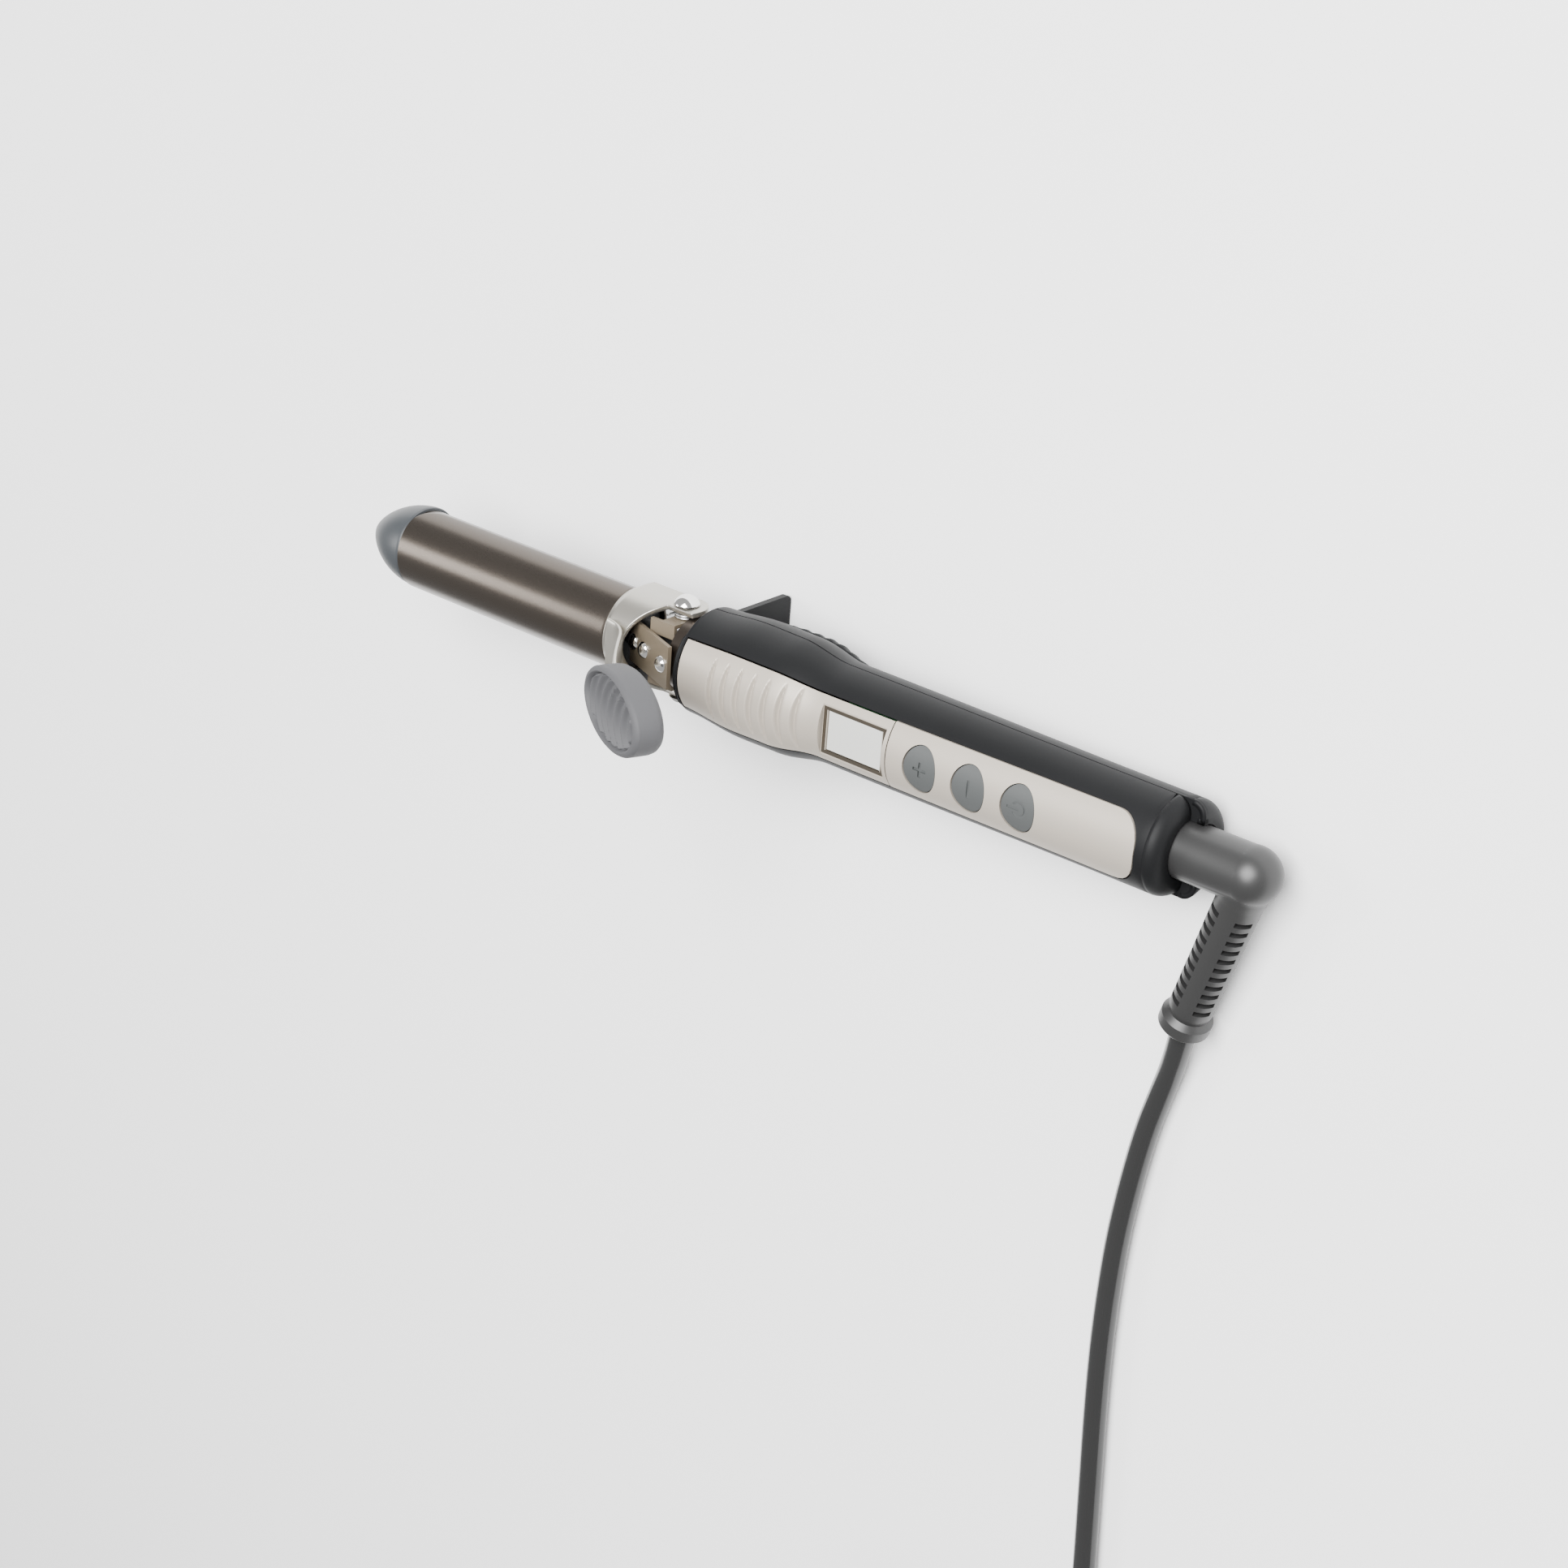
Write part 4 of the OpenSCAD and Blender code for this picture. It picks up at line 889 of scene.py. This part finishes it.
@dataclass
class Barrel:
    """The cool tip, the clamp plate and the thumb lever."""

    seat: Seat
    end: float = 126.0
    tip_len: float = 24.0
    clamp_in: float = 12.9
    clamp_out: float = 13.8
    collar_out: float = 14.8
    collar: tuple[float, float] = (24.5, 32.5)
    pad_center: tuple[float, float] = (-6.5, 53.0)
    pad_lean: float = 24.0
    pad_size: tuple[float, float, float] = (41.0, 24.0, 11.0)
    rib_pitch: float = 4.9

    def cool_tip(self) -> bpy.types.Object:
        """The tip: an ogive of radius R (1 - t^1.9)^0.82 turned about the axis, with a shallow lip at its base."""
        t = np.concatenate([np.linspace(0, 0.9, 40), 1 - 0.1 * np.linspace(1, 0, 14)[1:] ** 1.8])
        base_r = self.clamp_out - 0.3
        r = base_r * np.clip(1 - t**1.9, 0, 1) ** 0.82
        x = self.end + t * self.tip_len
        stem = self.end - 8.9
        x = np.concatenate([[stem, stem, self.end, self.end], x[1:]])
        r = np.concatenate([[0.0, 11.6, 11.6, base_r - 0.25, base_r - 0.02], r[2:]])
        a = np.linspace(0, 2 * math.pi, 97)[:-1]
        r = r[:, None]
        grid = np.stack(np.broadcast_arrays(x[:, None], r * np.cos(a), r * np.sin(a)), -1)
        points, faces = join_grids([(grid, True)])
        obj = make_mesh("cool_tip_shape", self.seat.place(points), faces)
        return declare(obj, Coat.TIP, "cool_tip", "handle")

    def clamp_plate(self) -> bpy.types.Object:
        """The clamp: a half tube whose front corners are rounded and whose long edges roll in a little."""
        corner = 9
        start = self.end - 0.5 - corner
        turn = np.linspace(0, math.pi / 2, 16)[1:]
        x = np.concatenate([np.linspace(self.collar[1] - 0.2, start, 60), start + corner * np.sin(turn)])
        lost = np.clip((x - start) / corner, 0, 1)
        low = np.arcsin(np.clip(corner * (1 - np.sqrt(np.clip(1 - lost**2, 0, 1))) / self.clamp_out, 0, 0.99))
        v = np.linspace(-1, 1, 71)
        phi = v[None, :] * (math.pi / 2 - low[:, None])
        sink = 0.12 * np.clip((np.abs(v) - 0.97) / 0.03, 0, 1)[None, :]
        r = self.clamp_out - sink
        grid = np.stack(np.broadcast_arrays(x[:, None], r * np.sin(phi), r * np.cos(phi)), -1)
        points, faces = join_grids([(grid, False)])
        obj = make_mesh("clamp_plate_skin", self.seat.place(points), faces)
        wall(obj, self.clamp_out - self.clamp_in - 0.05, 0.15)
        return declare(obj, Coat.WARM_METAL, "clamp_plate", "clamp")

    def pad_place(self, p: Array) -> Array:
        """Carries points of the pad's own frame, face up at its origin, to the iron's frame."""
        a = math.radians(self.pad_lean)
        x = self.pad_center[0] + p[..., 0] * math.cos(a) + p[..., 2] * math.sin(a)
        z = self.pad_center[1] - p[..., 0] * math.sin(a) + p[..., 2] * math.cos(a)
        return np.stack([x, p[..., 1], z], -1)

    def lever(self) -> None:
        """The thumb lever: a thick oval block with a rim and curved ribs on its face, on a metal tab.

        The face is rho from its centre to its rim. Inside the rim it drops, and ribs stand in it as a wave in
        x + y^2 / 22. The tab is a flat section carried along a bent line from the collar into the block.
        """
        length, width, thick = self.pad_size
        a = np.linspace(0, 2 * math.pi, 145)[:-1]
        rho = np.concatenate([np.linspace(0.0, 0.8, 64), [0.82, 0.84, 0.86, 0.89, 0.93, 0.97, 0.99, 1.0]])
        rr, aa = np.meshgrid(rho, a, indexing="ij")
        x, y = rr * length / 2 * np.cos(aa), rr * width / 2 * np.sin(aa)
        bowl = -2.1 * np.clip((0.87 - rr) / 0.05, 0, 1)
        wave = np.cos(2 * math.pi * (x + y**2 / 22) / self.rib_pitch)
        ribs = 1.7 * np.clip((wave + 0.25) / 1.25, 0, 1) ** 1.5 * np.clip((0.84 - rr) / 0.05, 0, 1)
        edge = -1.0 * np.clip((rr - 0.93) / 0.07, 0, 1) ** 2
        dome = 1.1 * (1 - rr**2) - 1.1
        face = np.stack([x, y, bowl + ribs + edge + dome], -1)
        down = np.array([[1.0, -2.4], [1.0, -thick / 2], [0.995, -thick + 3.0], [0.97, -thick + 1.6],
                         [0.92, -thick + 0.6], [0.84, -thick + 0.1], [0.78, -thick], [0.0, -thick]])
        sides = np.stack([np.stack([k * length / 2 * np.cos(a), k * width / 2 * np.sin(a), np.full_like(a, z)], -1)
                          for k, z in down])
        points, faces = join_grids([(self.pad_place(np.concatenate([face, sides])), True)])
        block = make_mesh("thumb_lever_block", self.seat.place(points), faces)
        declare(block, Coat.LEVER, "thumb_lever", "clamp")
        path = through(np.array([[-2.0, 43.0], [4.0, 38.5], [11.0, 31.0], [17.0, 23.5], [21.5, 17.8], [25.5, 15.0],
                                 [30.0, 14.2]]), 6)
        run = np.gradient(path, axis=0)
        run /= np.linalg.norm(run, axis=1)[:, None]
        b = np.linspace(0, 2 * math.pi, 41)[:-1]
        half_y = 7.0 + 1.2 * np.linspace(0, 1, len(path)) ** 2
        cy, cn = squared(np.cos(b), 0.3), 0.75 * squared(np.sin(b), 0.5)
        tab = np.stack([path[:, None, 0] - run[:, None, 1] * cn, half_y[:, None] * cy,
                        path[:, None, 1] + run[:, None, 0] * cn], -1)
        points, faces = join_grids([(tab, True)], ("ends",))
        obj = make_mesh("lever_tab", self.seat.place(points), faces)
        declare(obj, Coat.COLLAR_METAL, "thumb_lever lever_screws", "clamp")

    def collar_skin(self) -> None:
        """The collar: a band that steps softly out of the clamp and ends in an arch between two ears.

        Its radius is a smooth step from the clamp's to its own. Each column is an angle round the barrel, or a
        height below the axis on an ear, and runs from the rear edge to the front one. The rear edge is the arch,
        a circle seen from above, and on the ears a circle about the pivot.
        """
        front, cut, ear = self.collar[1] + 0.3, 3.9, 6.5
        arch_half, deep = self.collar_out + 0.6, 12.5
        arch_r = (arch_half**2 + deep**2) / (2 * deep)
        edge = math.acos(cut / self.collar_out)
        phi = np.concatenate([np.linspace(0, edge, 48), np.linspace(edge, math.pi / 2, 12)[1:]])
        radius = self.collar_out
        y_col = np.concatenate([radius * np.sin(phi), np.full(8, radius)])
        z_col = np.concatenate([radius * np.cos(phi), np.linspace(0, -ear, 9)[1:]])
        rear = self.collar[0] - arch_r + np.sqrt(np.maximum(arch_r**2 - y_col**2, 0))
        rear = np.where(z_col > cut + 1e-6, rear, rear[47])
        t = np.linspace(0, 1, 25)[:, None]
        x = rear + (front - rear) * t
        step = ramp((front - x) / 2.6)
        scale = (self.clamp_out + (radius - self.clamp_out) * step) / radius
        band = np.stack([x, y_col * scale, z_col * np.where(z_col > 0, scale, 1)], -1)
        ear_y, ear_z = y_col[47:], z_col[47:]
        ear_x = 11 - np.sqrt(np.maximum(6.65**2 - ear_z**2, 0))
        ear_x = np.minimum(ear_x, 10.9)
        k = np.linspace(0, 1, 9)[:, None]
        ears = np.stack([rear[47] + (ear_x - rear[47]) * k, np.broadcast_to(ear_y, (9, len(ear_y))),
                         np.broadcast_to(ear_z, (9, len(ear_y)))], -1)
        flip = np.array([1, -1, 1])
        points, faces = join_grids([(band, False), (band * flip, False), (ears, False), (ears * flip, False)])
        obj = make_mesh("clamp_collar_skin", self.seat.place(points), faces)
        wall(obj, 1.75, 0.25)
        declare(obj, Coat.COLLAR_METAL, "clamp_collar", "clamp")
        # The wall's inner faces take the black insulator finish as painted shade, which darkens the collar's inside
        # and the far ear's inner face.
        obj.data.materials.append(Coat.INSULATOR_AND_PAINTED_SHADE.value.build())
        obj.modifiers["wall"].material_offset = 1

    def build(self) -> None:
        """Builds every piece of the barrel and clamp."""
        self.cool_tip()
        self.clamp_plate()
        self.collar_skin()
        self.lever()


def main() -> None:
    """Builds the scene: frame, camera and cord first, then the finishes and the pieces."""
    logging.basicConfig(level=logging.INFO, format="%(message)s")
    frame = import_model()
    seat = Seat.from_joints(frame["joints"])
    studio = Studio()
    studio.camera()
    Cord().build(frame["nodes"])
    studio.build()
    dress_cad(frame["nodes"])
    Handle(seat).build()
    Barrel(seat).build()


if __name__ == "__main__":
    main()
